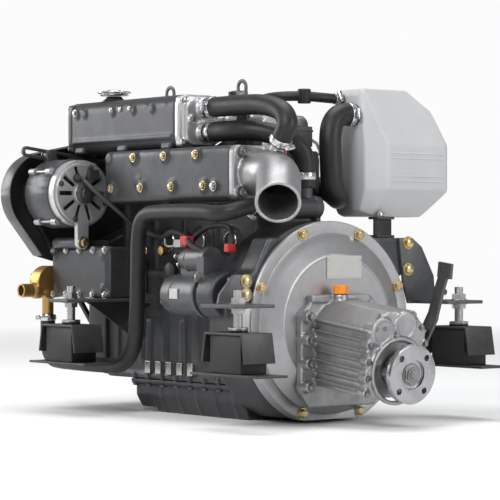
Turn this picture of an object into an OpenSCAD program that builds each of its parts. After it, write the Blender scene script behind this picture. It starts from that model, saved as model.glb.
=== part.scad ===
// Four-cylinder marine diesel engine with a reduction gearbox, on four flexible feet.
// +X points aft along the crankshaft, +Y to starboard and +Z up. The origin is the centre
// of the output coupling's aft face. All lengths are in millimetres.

/* [Crank line] */
// Height of the crankshaft above the centre of the output coupling
crank_z = 80; // [76:1:86]
// Slope of the output shaft, down towards the stern
shaft_angle = 7; // [5:1:8]
// Radius of the main bearing journals
journal_r = 30; // [26:1:32]
// Throw of the crank, half the stroke
throw_r = 45; // [40:1:46]
// Running clearance on a radius
run_gap = 0.05; // [0.02:0.01:0.08]

/* [Cylinder block] */
// Number of cylinders
cylinder_count = 4; // [4]
// Distance between cylinder centres
bore_pitch = 94; // [92:1:96]
// Cylinder bore radius
bore_r = 42; // [38:1:43]
// Length of the block beyond the outer cylinders' centres
block_over = 133; // [128:1:143]
// Crankcase half width
crankcase_half = 105; // [102:1:108]
// Cylinder bank half width, also the head's
bank_half = 75; // [73:1:76]
// Height of the crankcase shoulder above the crank line
shoulder_h = 90; // [86:1:94]
// Height of the head joint above the crank line
deck_h = 225; // [222:1:230]
// Depth of the pan rail below the crank line
rail_drop = 111; // [108:1:114]
// Crankcase wall
case_wall = 20; // [16:1:22]
// Length of a main bearing web
web_len = 28; // [24:1:32]

/* [Head and rocker cover] */
// Cylinder head height
head_h = 80; // [76:1:83]
// Rocker cover half width
rocker_half = 54; // [50:1:55]
// Rocker cover height
rocker_h = 63; // [58:1:66]
// Rocker cover length
rocker_len = 362; // [340:1:370]

/* [Oil pan] */
// Pan length at the rail
pan_len = 334; // [320:1:340]
// Pan depth below the rail
pan_depth = 60; // [52:1:70]
// Pan half width at the rail
pan_half = 110; // [108:1:114]
// Pan half width at the bottom
pan_floor_half = 90; // [84:1:94]
// Thickness of the pan rail
pan_rail_t = 8; // [6:1:10]
// Pan wall
pan_wall = 5; // [4:1:7]

/* [Flywheel housing] */
// Distance from the coupling face forward to the housing's bolted face
housing_back = 238; // [236:1:242]
// Length of the flywheel housing
housing_len = 92; // [90:1:96]
// Outside diameter of the housing flange
ring_d = 356; // [354:1:360]
// Distance of the housing bolts from the edge of the flange
ring_edge = 11.3; // [11:0.1:12]
// Number of housing bolts
ring_bolts = 8; // [8]
// Distance of the flywheel's rim from the outside of the housing
flywheel_in = 32; // [30:1:36]
// Flywheel thickness
flywheel_t = 52; // [44:1:54]

/* [Clutch bell] */
// Thickness of the bell's bolted ring
bell_ring_t = 25; // [22:1:28]
// Rise of the bell's dome behind its ring
bell_rise = 18; // [16:1:20]
// Distance of the bell's flat disc from the outside of its ring
bell_disc_in = 60; // [56:1:64]

/* [Gearbox] */
// Thickness of the gearbox mounting flange
gear_flange_t = 13; // [11:1:15]
// Half width of the gearbox mounting flange
gear_flange_half = 92; // [88:1:95]
// Distance from the coupling face to the back of the gearbox case
gear_back = 45; // [43:1:48]
// Half width of the gearbox case
gear_half = 60; // [58:1:62]
// Shoulder height of the gearbox case over its output shaft
gear_shoulder = 71; // [69:1:73]
// Roof height of the gearbox case over its output shaft
gear_roof = 100; // [97:1:102]
// Depth of the gearbox case under its output shaft
gear_floor = 46; // [44:1:48]
// Number of cooling fins on each side
fin_count = 7; // [5:1:8]

/* [Output coupling] */
// Outside diameter of the coupling flange
coupling_d = 100; // [98:1:102]
// Thickness of the coupling flange
coupling_t = 12; // [11:1:13]
// Pitch circle of the coupling bolts
coupling_pcd = 78; // [77:0.5:79]
// Bolt hole diameter
coupling_hole_d = 10.5; // [10:0.1:11]
// Number of coupling bolts
coupling_bolts = 4; // [4]
// Pilot recess diameter
pilot_d = 50; // [48:0.5:51]

/* [Exhaust] */
// Length of the exhaust manifold beyond the outer cylinders' centres
manifold_over = 98; // [92:1:102]
// Exhaust manifold height
manifold_h = 95; // [93:1:96]
// Distance of the manifold's outer face from the crank line
manifold_out = 165; // [163:1:167]
// Outside diameter of the exhaust outlet
outlet_d = 76; // [74:1:77]
// Wall of the exhaust elbow
elbow_wall = 5; // [4:0.5:6]

/* [Heat exchanger] */
// Heat exchanger body length
tank_len = 332; // [328:1:334]
// Heat exchanger width
tank_w = 88; // [86:1:89]
// Heat exchanger height
tank_h = 98; // [96:1:102]
// Corner radius of the heat exchanger
tank_corner_r = 24; // [20:1:28]
// Coolant cap radius
cap_r = 20; // [18:1:21]

/* [Alternator and belt] */
// Alternator radius
alternator_r = 64; // [62:1:65]
// Alternator stator length
alternator_len = 76; // [72:1:78]
// Distance of the alternator shaft to port
alternator_out = 190; // [189:1:193]
// Height of the alternator shaft
alternator_z = 312; // [311:1:314]
// Height of the coolant pump shaft
pump_z = 350; // [347:1:353]
// Crank pulley belt radius
crank_pulley_r = 66; // [62:1:68]
// Alternator pulley belt radius
alternator_pulley_r = 33; // [30:1:35]
// Coolant pump pulley belt radius
pump_pulley_r = 55; // [52:1:58]
// Belt width
belt_w = 12; // [10:1:13]
// Belt thickness
belt_t = 8; // [6:1:9]
// Radius of the belt guard about each shaft
guard_r = 80; // [79:1:82]
// Width of the belt guard's rim
guard_w = 32; // [30:1:34]

/* [Feet] */
// Distance of the feet from the crank line
foot_out = 248; // [246:1:252]
// Distance from the coupling face to the aft feet
foot_aft = 155; // [153:1:157]
// Distance between the fore and aft feet
foot_span = 500; // [497:1:503]
// Base plate length
base_len = 182; // [180:1:190]
// Base plate width
base_w = 64; // [60:1:68]
// Base plate thickness
base_t = 4; // [4:0.5:6]
// Distance between the two slots of a base plate
slot_pitch = 150; // [146:1:152]
// Slot width
slot_w = 11; // [10:0.5:12]
// Slot length
slot_len = 18; // [16:1:19]
// Height of the foot's cover
cover_top = 72; // [70:1:74]
// Height of the underside of the foot brackets
bracket_z = 112; // [110:1:114]
// Thickness of the foot brackets
bracket_t = 6; // [5:0.5:7]
// Radius of the foot's stud
stud_r = 8; // [7:0.5:9]

/* [Intake] */
// Distance of the silencer's inner side from the crank line
silencer_in = 118; // [118:1:122]
// Silencer width
silencer_w = 190; // [184:1:198]
// Silencer height
silencer_h = 230; // [224:1:236]
// Silencer depth along the engine
silencer_t = 110; // [104:1:112]
// Height of the silencer's underside
silencer_z = 267; // [264:1:270]
// Intake duct radius
duct_r = 20; // [18:0.5:20.5]

/* [Hoses] */
// Raw-water hose radius
raw_hose_r = 14; // [12:0.5:14.5]
// Cooler hose radius
cool_hose_r = 18; // [16:0.5:18.5]
// Breather hose radius
breather_r = 9; // [8:0.5:10]

/* [Hidden] */
$fn = 48;
// Overrun of every cut past the face it opens
over = 1;
// Gap between a soft or loose piece and what it rests against
seat_gap = 0.3;

// Stations along the engine, from the coupling forward
housing_x = -housing_back;
block_x = housing_x - housing_len;
cylinder_run = (cylinder_count - 1) * bore_pitch;
block_len = cylinder_run + block_over;
manifold_len = cylinder_run + manifold_over;
ring_r = ring_d / 2;
flywheel_r = ring_r - flywheel_in;
block_fore_x = block_x - block_len;
gear_case_len = 55;
case_fore_x = block_fore_x - gear_case_len;
bell_x = housing_x + bell_ring_t;
disc_x = bell_x + bell_rise;
flange_x = disc_x + gear_flange_t;
rail_z = crank_z - rail_drop;
shoulder_z = crank_z + shoulder_h;
deck_z = crank_z + deck_h;
head_z = deck_z + head_h;
rocker_z = head_z + rocker_h;
pulley_out = 45;
guard_lead = 18;
cover_flange_t = 14;
fore_dome_t = 12;
tank_gap = 3;
tank_fore_x = case_fore_x - pulley_out - guard_lead + guard_w + tank_gap + fore_dome_t + cover_flange_t;
cylinder_x0 = block_x - block_over / 2;
function cylinder_x(i) = cylinder_x0 - i * bore_pitch;

// Round bar along X, from x = 0
module rod_x(r, len) rotate([0, 90, 0]) cylinder(r = r, h = len);
// Round bar along Y, from y = 0
module rod_y(r, len) rotate([-90, 0, 0]) cylinder(r = r, h = len);
// Slab across the engine: a (Y, Z) outline, thick along X
module slab_x(len) rotate([90, 0, 90]) linear_extrude(len) children();
// Slab along the engine: an (X, Z) outline, thick along Y
module slab_y(len) translate([0, len, 0]) rotate([90, 0, 0]) linear_extrude(len) children();
// Box from one corner to the other
module span(a, b) translate(a) cube(b - a);
// Rectangle with true round corners, from its lower left corner
module round_rect(w, h, r) {
    translate([r, 0]) square([w - 2 * r, h]);
    translate([0, r]) square([w, h - 2 * r]);
    for (x = [r, w - r], y = [r, h - r]) translate([x, y]) circle(r);
}
function around(c, r, angle) = c + r * [cos(angle), sin(angle)];
// Straight bar with round ends between two points, as one outline
arc_steps = 12;
module stadium(a, b, r) {
    angle = atan2(b.y - a.y, b.x - a.x);
    polygon([
        for (end = [[a, 90], [b, -90]], k = [0:arc_steps])
            around(end[0], r, angle + end[1] + 180 * k / arc_steps)
    ]);
}
// Outline given in shares of a width and a height
module share_outline(shares, w, h) polygon([for (s = shares) [s.x * w, s.y * h]]);
// Hexagon bolt head with its washer, pointing aft from its seat at x = 0
module bolt_x(r, head) {
    rod_x(r * 1.25, head / 4);
    rotate([0, 90, 0]) cylinder(r = r, h = head, $fn = 6);
}
// The same bolt pointing to port
module bolt_port(r, head) rotate([0, 0, -90]) bolt_x(r, head);

// Tangent of two circles on the right-hand side of the way from a to b
function tangent_angle(a, ra, b, rb) = atan2(b.y - a.y, b.x - a.x) - acos((ra - rb) / norm(b - a));
// Angle turned counter-clockwise from one direction to the next
function turn(first, last) = (last - first + 720) % 360;
// Loop around three circles, listed counter-clockwise, as one outline
module belt_loop(c, r) polygon([
    for (i = [0:2])
        let (
            before = (i + 2) % 3,
            after = (i + 1) % 3,
            first = tangent_angle(c[before], r[before], c[i], r[i]),
            sweep = turn(first, tangent_angle(c[i], r[i], c[after], r[after]))
        )
        for (k = [0:2 * arc_steps]) around(c[i], r[i], first + sweep * k / (2 * arc_steps))
]);

// A smooth tube swept along hand-placed points
tube_sides = 12;
tube_steps = 2;
function smooth_point(p, i, t) =
    let (a = p[max(i - 1, 0)], b = p[i], c = p[i + 1], d = p[min(i + 2, len(p) - 1)])
    b + t * (c - a) / 2 + t * t * (2 * a - 5 * b + 4 * c - d) / 2 + t * t * t * (3 * b - a - 3 * c + d) / 2;
function smooth_route(p) = [
    for (i = [0:len(p) - 2], s = [0:tube_steps - 1]) smooth_point(p, i, s / tube_steps),
    p[len(p) - 1]
];
// The same route with its ends moved along X to where its pieces are
function fitted(route, first, last) =
    let (start = route[0].x, scale_x = (last - first) / (route[len(route) - 1].x - start))
    [for (p = route) [first + (p.x - start) * scale_x, p.y, p.z]];
function unit(v) = v / norm(v);
function heading(p, i) = unit(p[min(i + 1, len(p) - 1)] - p[max(i - 1, 0)]);
// Side vector carried along the route, so that the tube never twists
function carried(p, i, side) =
    let (t = heading(p, i), s = unit(side - (side * t) * t))
    i == len(p) - 1 ? [s] : concat([s], carried(p, i + 1, s));
module swept_tube(points, r, side = [0, 0, 1]) {
    p = smooth_route(points);
    count = len(p);
    sides = carried(p, 0, side);
    rings = [
        for (i = [0:count - 1])
            let (t = heading(p, i), u = sides[i], v = cross(t, u))
            for (k = [0:tube_sides - 1])
                p[i] + r * (cos(360 * k / tube_sides) * u + sin(360 * k / tube_sides) * v)
    ];
    polyhedron(rings, concat(
        [[for (k = [0:tube_sides - 1]) k]],
        [for (i = [0:count - 2], k = [0:tube_sides - 1])
            let (a = i * tube_sides + k, b = i * tube_sides + (k + 1) % tube_sides)
            each [[a, a + tube_sides, b], [b, a + tube_sides, b + tube_sides]]],
        [[for (k = [tube_sides - 1:-1:0]) (count - 1) * tube_sides + k]]
    ));
}

// Cylinder block: crankcase, cylinder bank, main bearing webs and outside ribs
crankcase_top_gap = 6;
rib_t = 6;
rib_out = 7;
block_rib_count = 3;
block_rib_pitch = 103.75;
module cylinder_block() color("dimgray") {
    hollow_half = crankcase_half - case_wall;
    hollow_top = shoulder_z - crankcase_top_gap;
    difference() {
        union() {
            span([block_fore_x, -crankcase_half, rail_z], [block_x, crankcase_half, shoulder_z]);
            span([block_fore_x, -bank_half, shoulder_z - over], [block_x, bank_half, deck_z]);
            for (i = [0:block_rib_count - 1], side = [-1, 1])
                translate([block_x - (i + 0.7) * block_rib_pitch, side * crankcase_half, 0])
                    span([-rib_t / 2, -rib_out, rail_z], [rib_t / 2, rib_out, crank_z]);
        }
        difference() {
            span([block_fore_x + case_wall / 2, -hollow_half, rail_z - over], [block_x - case_wall / 2, hollow_half, hollow_top]);
            for (i = [0:cylinder_count])
                translate([cylinder_x0 + (0.5 - i) * bore_pitch, 0, 0])
                    span([-web_len / 2, -hollow_half - over, rail_z], [web_len / 2, hollow_half + over, hollow_top + over]);
        }
        for (i = [0:cylinder_count - 1])
            translate([cylinder_x(i), 0, hollow_top - over]) cylinder(r = bore_r, h = deck_z - hollow_top + 2 * over);
        translate([block_fore_x - over, 0, crank_z]) rod_x(journal_r + run_gap, block_len + 2 * over);
    }
}

// Cylinder head: a long casting with its port faces on both sides
head_inset = 3;
head_step = 12;
module cylinder_head() color("dimgray") {
    span([block_fore_x + head_inset, -bank_half, deck_z], [block_x - head_inset, bank_half, head_z - head_step]);
    span([block_fore_x + head_inset, -bank_half + head_inset, head_z - head_step],
         [block_x - head_inset, bank_half - head_inset, head_z]);
}

// Rocker cover: a cast aluminium lid with a flange and round shoulders
rocker_corner_r = 18;
rocker_flange_t = 8;
rocker_back = 10;
rocker_x = block_x - rocker_back;
rocker_flange_out = 1.5;
module rocker_cover() color("silver") {
    translate([rocker_x - rocker_len, -rocker_half, head_z]) {
        slab_x(rocker_len) {
            round_rect(2 * rocker_half, rocker_h, rocker_corner_r);
            square([2 * rocker_half, rocker_h / 2]);
        }
        translate([-rocker_flange_out, -rocker_flange_out, 0])
            cube([rocker_len + 2 * rocker_flange_out, 2 * (rocker_half + rocker_flange_out), rocker_flange_t]);
    }
}

// Oil pan: a rail, a tapered sump with its drain plug, and pressed ribs
pan_x = block_x;
pan_nose_len = 60;
pan_step = 7;
pan_rib_t = 5;
pan_rib_out = 2;
pan_rib_count = 5;
drain_r = 11;
drain_len = 9;
pan_floor_z = rail_z - pan_depth;
pan_slope = (pan_half - pan_floor_half) / 3;
function pan_outline(inset, top, low) = [
    [-pan_half + pan_slope + inset, top],
    [-pan_half + pan_slope + inset, rail_z - pan_depth / 2],
    [-pan_floor_half + inset, low],
    [pan_floor_half - inset, low],
    [pan_half - pan_slope - inset, rail_z - pan_depth / 2],
    [pan_half - pan_slope - inset, top]
];
module pan_shell(inset, top) {
    main_len = pan_len - pan_nose_len;
    for (part = [[0, main_len, 0], [main_len, pan_len - pan_slope, pan_step]])
        translate([pan_x - part[1] + inset, 0, 0])
            slab_x(part[1] - part[0] - 2 * inset) polygon(pan_outline(inset, top, pan_floor_z + part[2] + inset));
}
module oil_pan() color("dimgray") {
    rib_pitch = (pan_len - pan_nose_len) / pan_rib_count;
    difference() {
        union() {
            span([pan_x - pan_len, -pan_half, rail_z - pan_rail_t], [pan_x, pan_half, rail_z]);
            pan_shell(0, rail_z - pan_rail_t);
            for (i = [0:pan_rib_count - 1]) translate([pan_x - (i + 0.5) * rib_pitch, 0, 0])
                slab_x(pan_rib_t) polygon(pan_outline(-pan_rib_out, rail_z - pan_rail_t, pan_floor_z));
        }
        pan_shell(pan_wall, rail_z + over);
    }
    translate([pan_x - pan_len + pan_slope - drain_len, 0, rail_z - pan_depth / 2]) rod_x(drain_r, drain_len);
}

// Timing gear case: a deep plate on the front of the block, low at the alternator's side
case_top_shares = [[0, 0.04], [0.14, 0], [0.86, 0], [1, 0.1], [1, 0.6], [0.72, 0.82], [0.72, 1], [0.3, 1], [0.3, 0.68], [0, 0.6]];
case_port = 112;
case_starboard = 150;
nose_r = 38;
nose_len = 12;
module gear_case() color("dimgray") {
    difference() {
        union() {
            translate([case_fore_x, -case_port, rail_z])
                slab_x(gear_case_len) share_outline(case_top_shares, case_port + case_starboard, head_z - rail_z);
            translate([case_fore_x - nose_len, 0, crank_z]) rod_x(nose_r, nose_len);
        }
        translate([case_fore_x - nose_len - over, 0, crank_z])
            rod_x(journal_r + run_gap, gear_case_len + nose_len + 2 * over);
    }
}

// Auxiliary housing on the port side of the gear case, which drives the raw-water pump
drive_out = 176;
drive_low = 118;
drive_top = 213;
drive_fore = 30;
drive_len = 195;
drive_cover_t = 4;
drive_cover_in = 9;
drive_bolt_r = 5;
drive_x = case_fore_x - drive_fore + drive_len;
module pump_drive_housing() color("dimgray") {
    difference() {
        span([case_fore_x - drive_fore, -drive_out, drive_low], [drive_x, -crankcase_half, drive_top]);
        span([case_fore_x - over, -case_port, drive_low - over], [block_fore_x + over, over, drive_top + over]);
        span([case_fore_x - drive_fore - over, -case_port, drive_low - over],
             [case_fore_x + over, over, drive_top + over]);
    }
    translate([case_fore_x - drive_fore + drive_cover_in, -drive_out - drive_cover_t, drive_low + drive_cover_in])
        cube([drive_len - 2 * drive_cover_in, drive_cover_t, drive_top - drive_low - 2 * drive_cover_in]);
    bolt_in = 2 * drive_cover_in;
    for (x = [bolt_in, drive_len - bolt_in], z = [drive_low + bolt_in, drive_top - bolt_in])
        translate([case_fore_x - drive_fore + x, -drive_out - drive_cover_t, z]) bolt_port(drive_bolt_r, drive_cover_t);
}

// Pistons with their pins, held at half stroke
piston_len = 72;
piston_skirt = 34;
pin_r = 13;
ring_groove = 2;
piston_z = deck_z - throw_r - piston_len;
module pistons() color("lightgray") {
    for (i = [0:cylinder_count - 1]) translate([cylinder_x(i), 0, piston_z]) {
        difference() {
            cylinder(r = bore_r - run_gap, h = piston_len);
            translate([0, 0, -over]) cylinder(r = bore_r - 2 * ring_groove - pin_r / 2, h = piston_skirt);
            for (k = [1:3]) translate([0, 0, piston_len - 4 * k * ring_groove]) difference() {
                cylinder(r = bore_r + over, h = ring_groove);
                cylinder(r = bore_r - ring_groove, h = ring_groove);
            }
        }
        translate([0, -bore_r + 2 * ring_groove, piston_skirt / 2])
            rod_y(pin_r, 2 * (bore_r - 2 * ring_groove));
    }
}

// Crankshaft: journals, throws with their webs, rear flange and nose
pin_journal_r = 24;
pin_len = 32;
cheek_t = 14;
cheek_r = 33;
crank_flange_r = 42;
crank_flange_t = 12;
crank_nose_r = 17;
crank_nose_len = 20;
crank_end_gap = 1;
throw_shares = [1, -1, -1, 1];
module crankshaft() color("slategray") translate([0, 0, crank_z]) {
    nose_x = case_fore_x - nose_len;
    for (i = [0:cylinder_count]) {
        fore = i == cylinder_count ? nose_x : cylinder_x(i) + pin_len / 2 + cheek_t;
        aft = i == 0 ? block_x + crank_end_gap : cylinder_x(i - 1) - pin_len / 2 - cheek_t;
        translate([fore, 0, 0]) rod_x(journal_r, aft - fore);
    }
    for (i = [0:cylinder_count - 1]) translate([cylinder_x(i), 0, 0]) {
        offset_y = throw_shares[i] * throw_r;
        translate([-pin_len / 2, offset_y, 0]) rod_x(pin_journal_r, pin_len);
        for (x = [-pin_len / 2 - cheek_t, pin_len / 2])
            translate([x, 0, 0]) slab_x(cheek_t) stadium([offset_y, 0], [-offset_y / 2, 0], cheek_r);
    }
    translate([block_x + crank_end_gap, 0, 0]) rod_x(crank_flange_r, crank_flange_t);
    translate([nose_x - crank_nose_len, 0, 0]) rod_x(crank_nose_r, crank_nose_len);
}

// Belt plane and the three shafts that the belt joins
belt_x = case_fore_x - pulley_out;
shaft_points = [[0, crank_z], [0, pump_z], [-alternator_out, alternator_z]];
pulley_rs = [crank_pulley_r, pump_pulley_r, alternator_pulley_r];
groove_side_t = 3;
groove_lip = 6;
module pulley(r, bore) difference() {
    union() {
        translate([-belt_w / 2, 0, 0]) rod_x(r, belt_w);
        for (x = [-belt_w / 2 - groove_side_t, belt_w / 2]) translate([x, 0, 0]) rod_x(r + groove_lip, groove_side_t);
    }
    translate([-belt_w, 0, 0]) rod_x(bore, 2 * belt_w);
}
pulley_half = belt_w / 2 + groove_side_t;

// Crank pulley, keyed to the crankshaft's nose and held by one bolt
crank_bolt_r = 16;
crank_bolt_t = 5;
module crank_pulley() color("dimgray") {
    nose_fore = case_fore_x - nose_len - crank_nose_len;
    translate([belt_x, 0, crank_z]) pulley(crank_pulley_r, crank_nose_r);
    hub_x = belt_x + pulley_half;
    translate([hub_x, 0, crank_z]) difference() {
        rod_x(crank_pulley_r / 2, case_fore_x - nose_len - seat_gap - hub_x);
        translate([-over, 0, 0]) rod_x(crank_nose_r, crank_nose_len + nose_len);
    }
    translate([belt_x - pulley_half - crank_bolt_t, 0, crank_z])
        rotate([0, 90, 0]) cylinder(r = crank_bolt_r, h = crank_bolt_t, $fn = 6);
    translate([belt_x - pulley_half, 0, crank_z]) rod_x(crank_nose_r, nose_fore - belt_x + pulley_half);
}

// Flywheel with its starter ring and the damper plate's bolts
ring_gear_t = 12;
ring_gear_out = 4;
starter_teeth = 60;
flywheel_hub_r = 60;
flywheel_dish = 14;
flywheel_x = block_x + crank_end_gap + crank_flange_t;
module flywheel() color("slategray") translate([flywheel_x, 0, crank_z]) {
    difference() {
        rod_x(flywheel_r, flywheel_t);
        translate([flywheel_t - flywheel_dish, 0, 0]) difference() {
            rod_x(flywheel_r - 2 * flywheel_dish, flywheel_dish + over);
            translate([-over, 0, 0]) rod_x(flywheel_hub_r, flywheel_dish + 3 * over);
        }
        translate([-over, 0, 0]) rod_x(input_r + seat_gap, flywheel_t + 2 * over);
    }
    difference() {
        rod_x(flywheel_r + ring_gear_out, ring_gear_t);
        translate([-over, 0, 0]) rod_x(flywheel_r - over, ring_gear_t + 2 * over);
        for (k = [0:starter_teeth - 1]) rotate([360 * k / starter_teeth, 0, 0])
            translate([-over, -ring_gear_out / 2, flywheel_r]) cube([ring_gear_t + 2 * over, ring_gear_out, 2 * ring_gear_out]);
    }
}

// Damper plate and the gearbox's input shaft with its pinion
input_r = 14;
damper_t = 6;
damper_in = 46;
damper_r = flywheel_r - damper_in;
pinion_r = 24;
pinion_len = 30;
input_len = 118;
spring_r = 5;
spring_count = 6;
spring_in = 22;
spring_pcd_r = damper_r - spring_in;
module gearbox_input_shaft() color("silver") translate([flywheel_x + flywheel_t, 0, crank_z]) {
    difference() {
        rod_x(damper_r, damper_t);
        for (k = [0:spring_count - 1]) rotate([360 * k / spring_count, 0, 0])
            translate([-over, 0, spring_pcd_r]) rod_x(spring_r, damper_t + 2 * over);
    }
    rod_x(input_r, input_len);
    translate([input_len - pinion_len, 0, 0]) rod_x(pinion_r, pinion_len);
}

// Flywheel housing: a cup with a bolted rim, two ears for the foot brackets and a starter boss
housing_wall = 8;
housing_gap = 4;
cavity_r = flywheel_r + ring_gear_out + housing_gap;
housing_flat_in = 14;
housing_flat = ring_r - housing_flat_in;
ear_short = 58;
ear_out = foot_out - ear_short;
ear_drop = 29;
ear_top = ring_r - ear_drop;
ear_low = 30;
ear_len = 46;
ear_proud = 19;
ear_shares = [[0, 0], [0.55, 0], [0.75, 0.3], [1, 0.55], [1, 0.93], [0.93, 1], [0, 1]];
port_ear_shares = [[0, 0], [0.92, 0], [1, 0.08], [1, 0.42], [0.86, 0.52], [0.7, 1], [0, 1]];
boss_r = 42;
boss_gap = 60;
boss_out = crankcase_half + boss_gap;
boss_z = 49;
module flywheel_housing() color("dimgray") {
    difference() {
        union() {
            translate([block_x, 0, crank_z]) rod_x(ring_r, housing_len);
            for (side = [-1, 1]) scale([1, side, 1])
                translate([housing_x + ear_proud - ear_len, 0, crank_z + ear_low])
                    slab_x(ear_len) share_outline(side > 0 ? ear_shares : port_ear_shares, ear_out, ear_top - ear_low);
            translate([block_x, -boss_out, crank_z + boss_z]) rod_x(boss_r, housing_len / 2);
        }
        translate([block_x + housing_wall, 0, crank_z]) rod_x(cavity_r, housing_len);
        translate([block_x - over, 0, crank_z]) rod_x(crank_flange_r + housing_gap, housing_wall + 2 * over);
        translate([housing_x, 0, crank_z]) rod_x(ring_r + seat_gap, ear_proud + over);
        span([block_x - over, -ring_d, crank_z - ring_d], [housing_x + over, ring_d, crank_z - housing_flat]);
        translate([block_x - over, -boss_out, crank_z + boss_z]) rod_x(pinion_boss_r, housing_len / 2 - housing_wall);
    }
}
pinion_boss_r = 26;

// Clutch bell: bolted ring, dome and flat disc that carries the gearbox
bell_wall = 8;
bell_dome_in = 23;
bell_dome_r = ring_r - bell_dome_in;
bell_disc_r = ring_r - bell_disc_in;
bell_bore_r = 30;
bell_flat_in = 12;
bell_flat = ring_r - bell_flat_in;
module clutch_bell() color("silver") {
    difference() {
        union() {
            translate([housing_x, 0, crank_z]) rod_x(ring_r, bell_ring_t);
            translate([bell_x, 0, crank_z]) rotate([0, 90, 0])
                cylinder(r1 = bell_dome_r, r2 = bell_disc_r, h = bell_rise, $fn = 96);
        }
        translate([housing_x - over, 0, crank_z]) rod_x(cavity_r - 2 * housing_gap, bell_ring_t + over - bell_wall / 2);
        translate([bell_x - bell_wall, 0, crank_z]) rod_x(bell_disc_r - bell_wall, bell_rise);
        translate([bell_x - over, 0, crank_z]) rod_x(bell_bore_r, bell_rise + 2 * over);
        span([housing_x - over, -ring_d, crank_z - ring_d], [disc_x + over, ring_d, crank_z - bell_flat]);
        ring_bolt_places() translate([-over, 0, 0]) rod_x(ring_hole_r, bell_ring_t + 2 * over);
    }
}

// Yellow zinc bolts around the bell's ring
ring_hole_r = 5.5;
ring_bolt_r = 5;
ring_head_r = 8.5;
ring_head_t = 7;
module ring_bolt_places() for (k = [0:ring_bolts - 1]) translate([housing_x, 0, crank_z])
    rotate([360 * (k + 0.5) / ring_bolts, 0, 0]) translate([0, 0, ring_r - ring_edge]) children();
module zinc_bolts() color("goldenrod") {
    ring_bolt_places() {
        rod_x(ring_bolt_r, bell_ring_t);
        translate([bell_ring_t, 0, 0]) bolt_x(ring_head_r, ring_head_t);
    }
    manifold_bolt_places() translate([0, -manifold_pad_t, 0]) bolt_port(manifold_bolt_r, manifold_bolt_t);
}

// Bare type plate on the bell's disc
plate_w = 78;
plate_h = 40;
plate_t = 2;
plate_y = 14;
plate_z = 178;
module nameplate() color("whitesmoke")
    span([disc_x, plate_y - plate_w / 2, plate_z - plate_h / 2], [disc_x + plate_t, plate_y + plate_w / 2, plate_z + plate_h / 2]);

// Reduction gearbox: upright mounting flange and a finned case that follows the sloping shaft
fin_t = 4;
fin_out = 5;
gear_wall = 8;
case_shares = [[-1, 0], [1, 0], [1, 0.8], [0.5, 1], [-0.42, 1], [-1, 0.8]];
flange_shares = [[-1, 0.14], [-0.8, 0], [0.8, 0], [1, 0.14], [1, 0.84], [0.7, 1], [-0.6, 1], [-1, 0.84]];
flange_low = 62;
flange_high = 130;
rim_r = 58;
rim_wall = 7;
rim_len = 10;
bearing_cap_r = 24;
bearing_cap_t = 4;
bearing_cap_shares = [[-0.62, 0.66], [0.2, 0.76]];
neck_y = -15;
neck_r = 11;
neck_h = 16;
neck_in = 26;
lug_r = 9;
lug_rows = 4;
lever_boss_r = 16;
lever_boss_len = 9;
lever_z = 44;
lever_in = 20;
lever_pivot_r = 7;
lever_y = gear_half + lever_boss_len;
module tilted() rotate([0, shaft_angle, 0]) children();
module gearbox_case() color("silver") {
    case_len = housing_back;
    difference() {
        union() {
            tilted() translate([-gear_back - case_len, 0, 0]) {
                slab_x(case_len) translate([0, -gear_floor])
                    share_outline(case_shares, gear_half, gear_floor + gear_roof);
                for (i = [0:fin_count - 1], side = [-1, 1])
                    translate([0, side * gear_half, -gear_floor + (i + 0.7) * (gear_floor + gear_shoulder) / fin_count])
                        span([0, -fin_out, -fin_t / 2], [case_len, fin_out, fin_t / 2]);
                translate([case_len, 0, 0]) rod_x(rim_r, rim_len);
                for (s = bearing_cap_shares)
                    translate([case_len, s.x * gear_half, s.y * gear_roof]) rod_x(bearing_cap_r, bearing_cap_t);
            }
            translate([disc_x, 0, -flange_low])
                slab_x(gear_flange_t) share_outline(flange_shares, gear_flange_half, flange_low + flange_high);
            for (i = [0:lug_rows - 1], side = [-1, 1])
                translate([disc_x, side * (gear_flange_half - lug_r), -flange_low + (i + 0.9) * (flange_low + flange_high) / (lug_rows + 0.8)])
                    rod_x(lug_r, gear_flange_t + lug_r);
            translate([disc_x + neck_in, neck_y, gear_roof]) cylinder(r = neck_r, h = flange_high - gear_roof + neck_h / 8);
            tilted() translate([-gear_back - lever_in, gear_half - over, lever_z]) rod_y(lever_boss_r, lever_boss_len + over - seat_gap);
        }
        tilted() translate([-gear_back - case_len, 0, 0]) {
            slab_x(case_len - gear_wall) translate([0, -gear_floor + gear_wall])
                share_outline(case_shares, gear_half - gear_wall, gear_floor + gear_roof - 2 * gear_wall);
            translate([case_len - gear_wall - over, 0, 0]) rod_x(output_r + run_gap, gear_wall + rim_len);
            translate([case_len, 0, 0]) rod_x(rim_r - rim_wall, rim_len + over);
        }
        translate([disc_x + neck_in, neck_y, gear_roof - 2 * gear_wall]) cylinder(r = cap_stem_r + run_gap, h = flange_high);
        tilted() translate([-gear_back - lever_in, gear_half - gear_wall - over, lever_z])
            rod_y(lever_pivot_r + run_gap, lever_boss_len + gear_wall + 2 * over);
        span([disc_x - 2 * case_len, -ring_d, -ring_d], [disc_x, ring_d, ring_d]);
    }
}

// Orange filler cap with the gearbox's dipstick
cap_stem_r = 6;
cap_stem_len = 24;
filler_cap_r = 14;
filler_cap_h = 15;
filler_cap_z = flange_high + neck_h / 8;
module gearbox_filler_cap() color("orange") translate([disc_x + neck_in, neck_y, filler_cap_z]) {
    translate([0, 0, -gear_wall]) cylinder(r = cap_stem_r, h = gear_wall + over);
    cylinder(r = filler_cap_r, h = filler_cap_h, $fn = 8);
    translate([0, 0, -cap_stem_len]) cylinder(r = dip_r, h = cap_stem_len);
}

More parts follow.
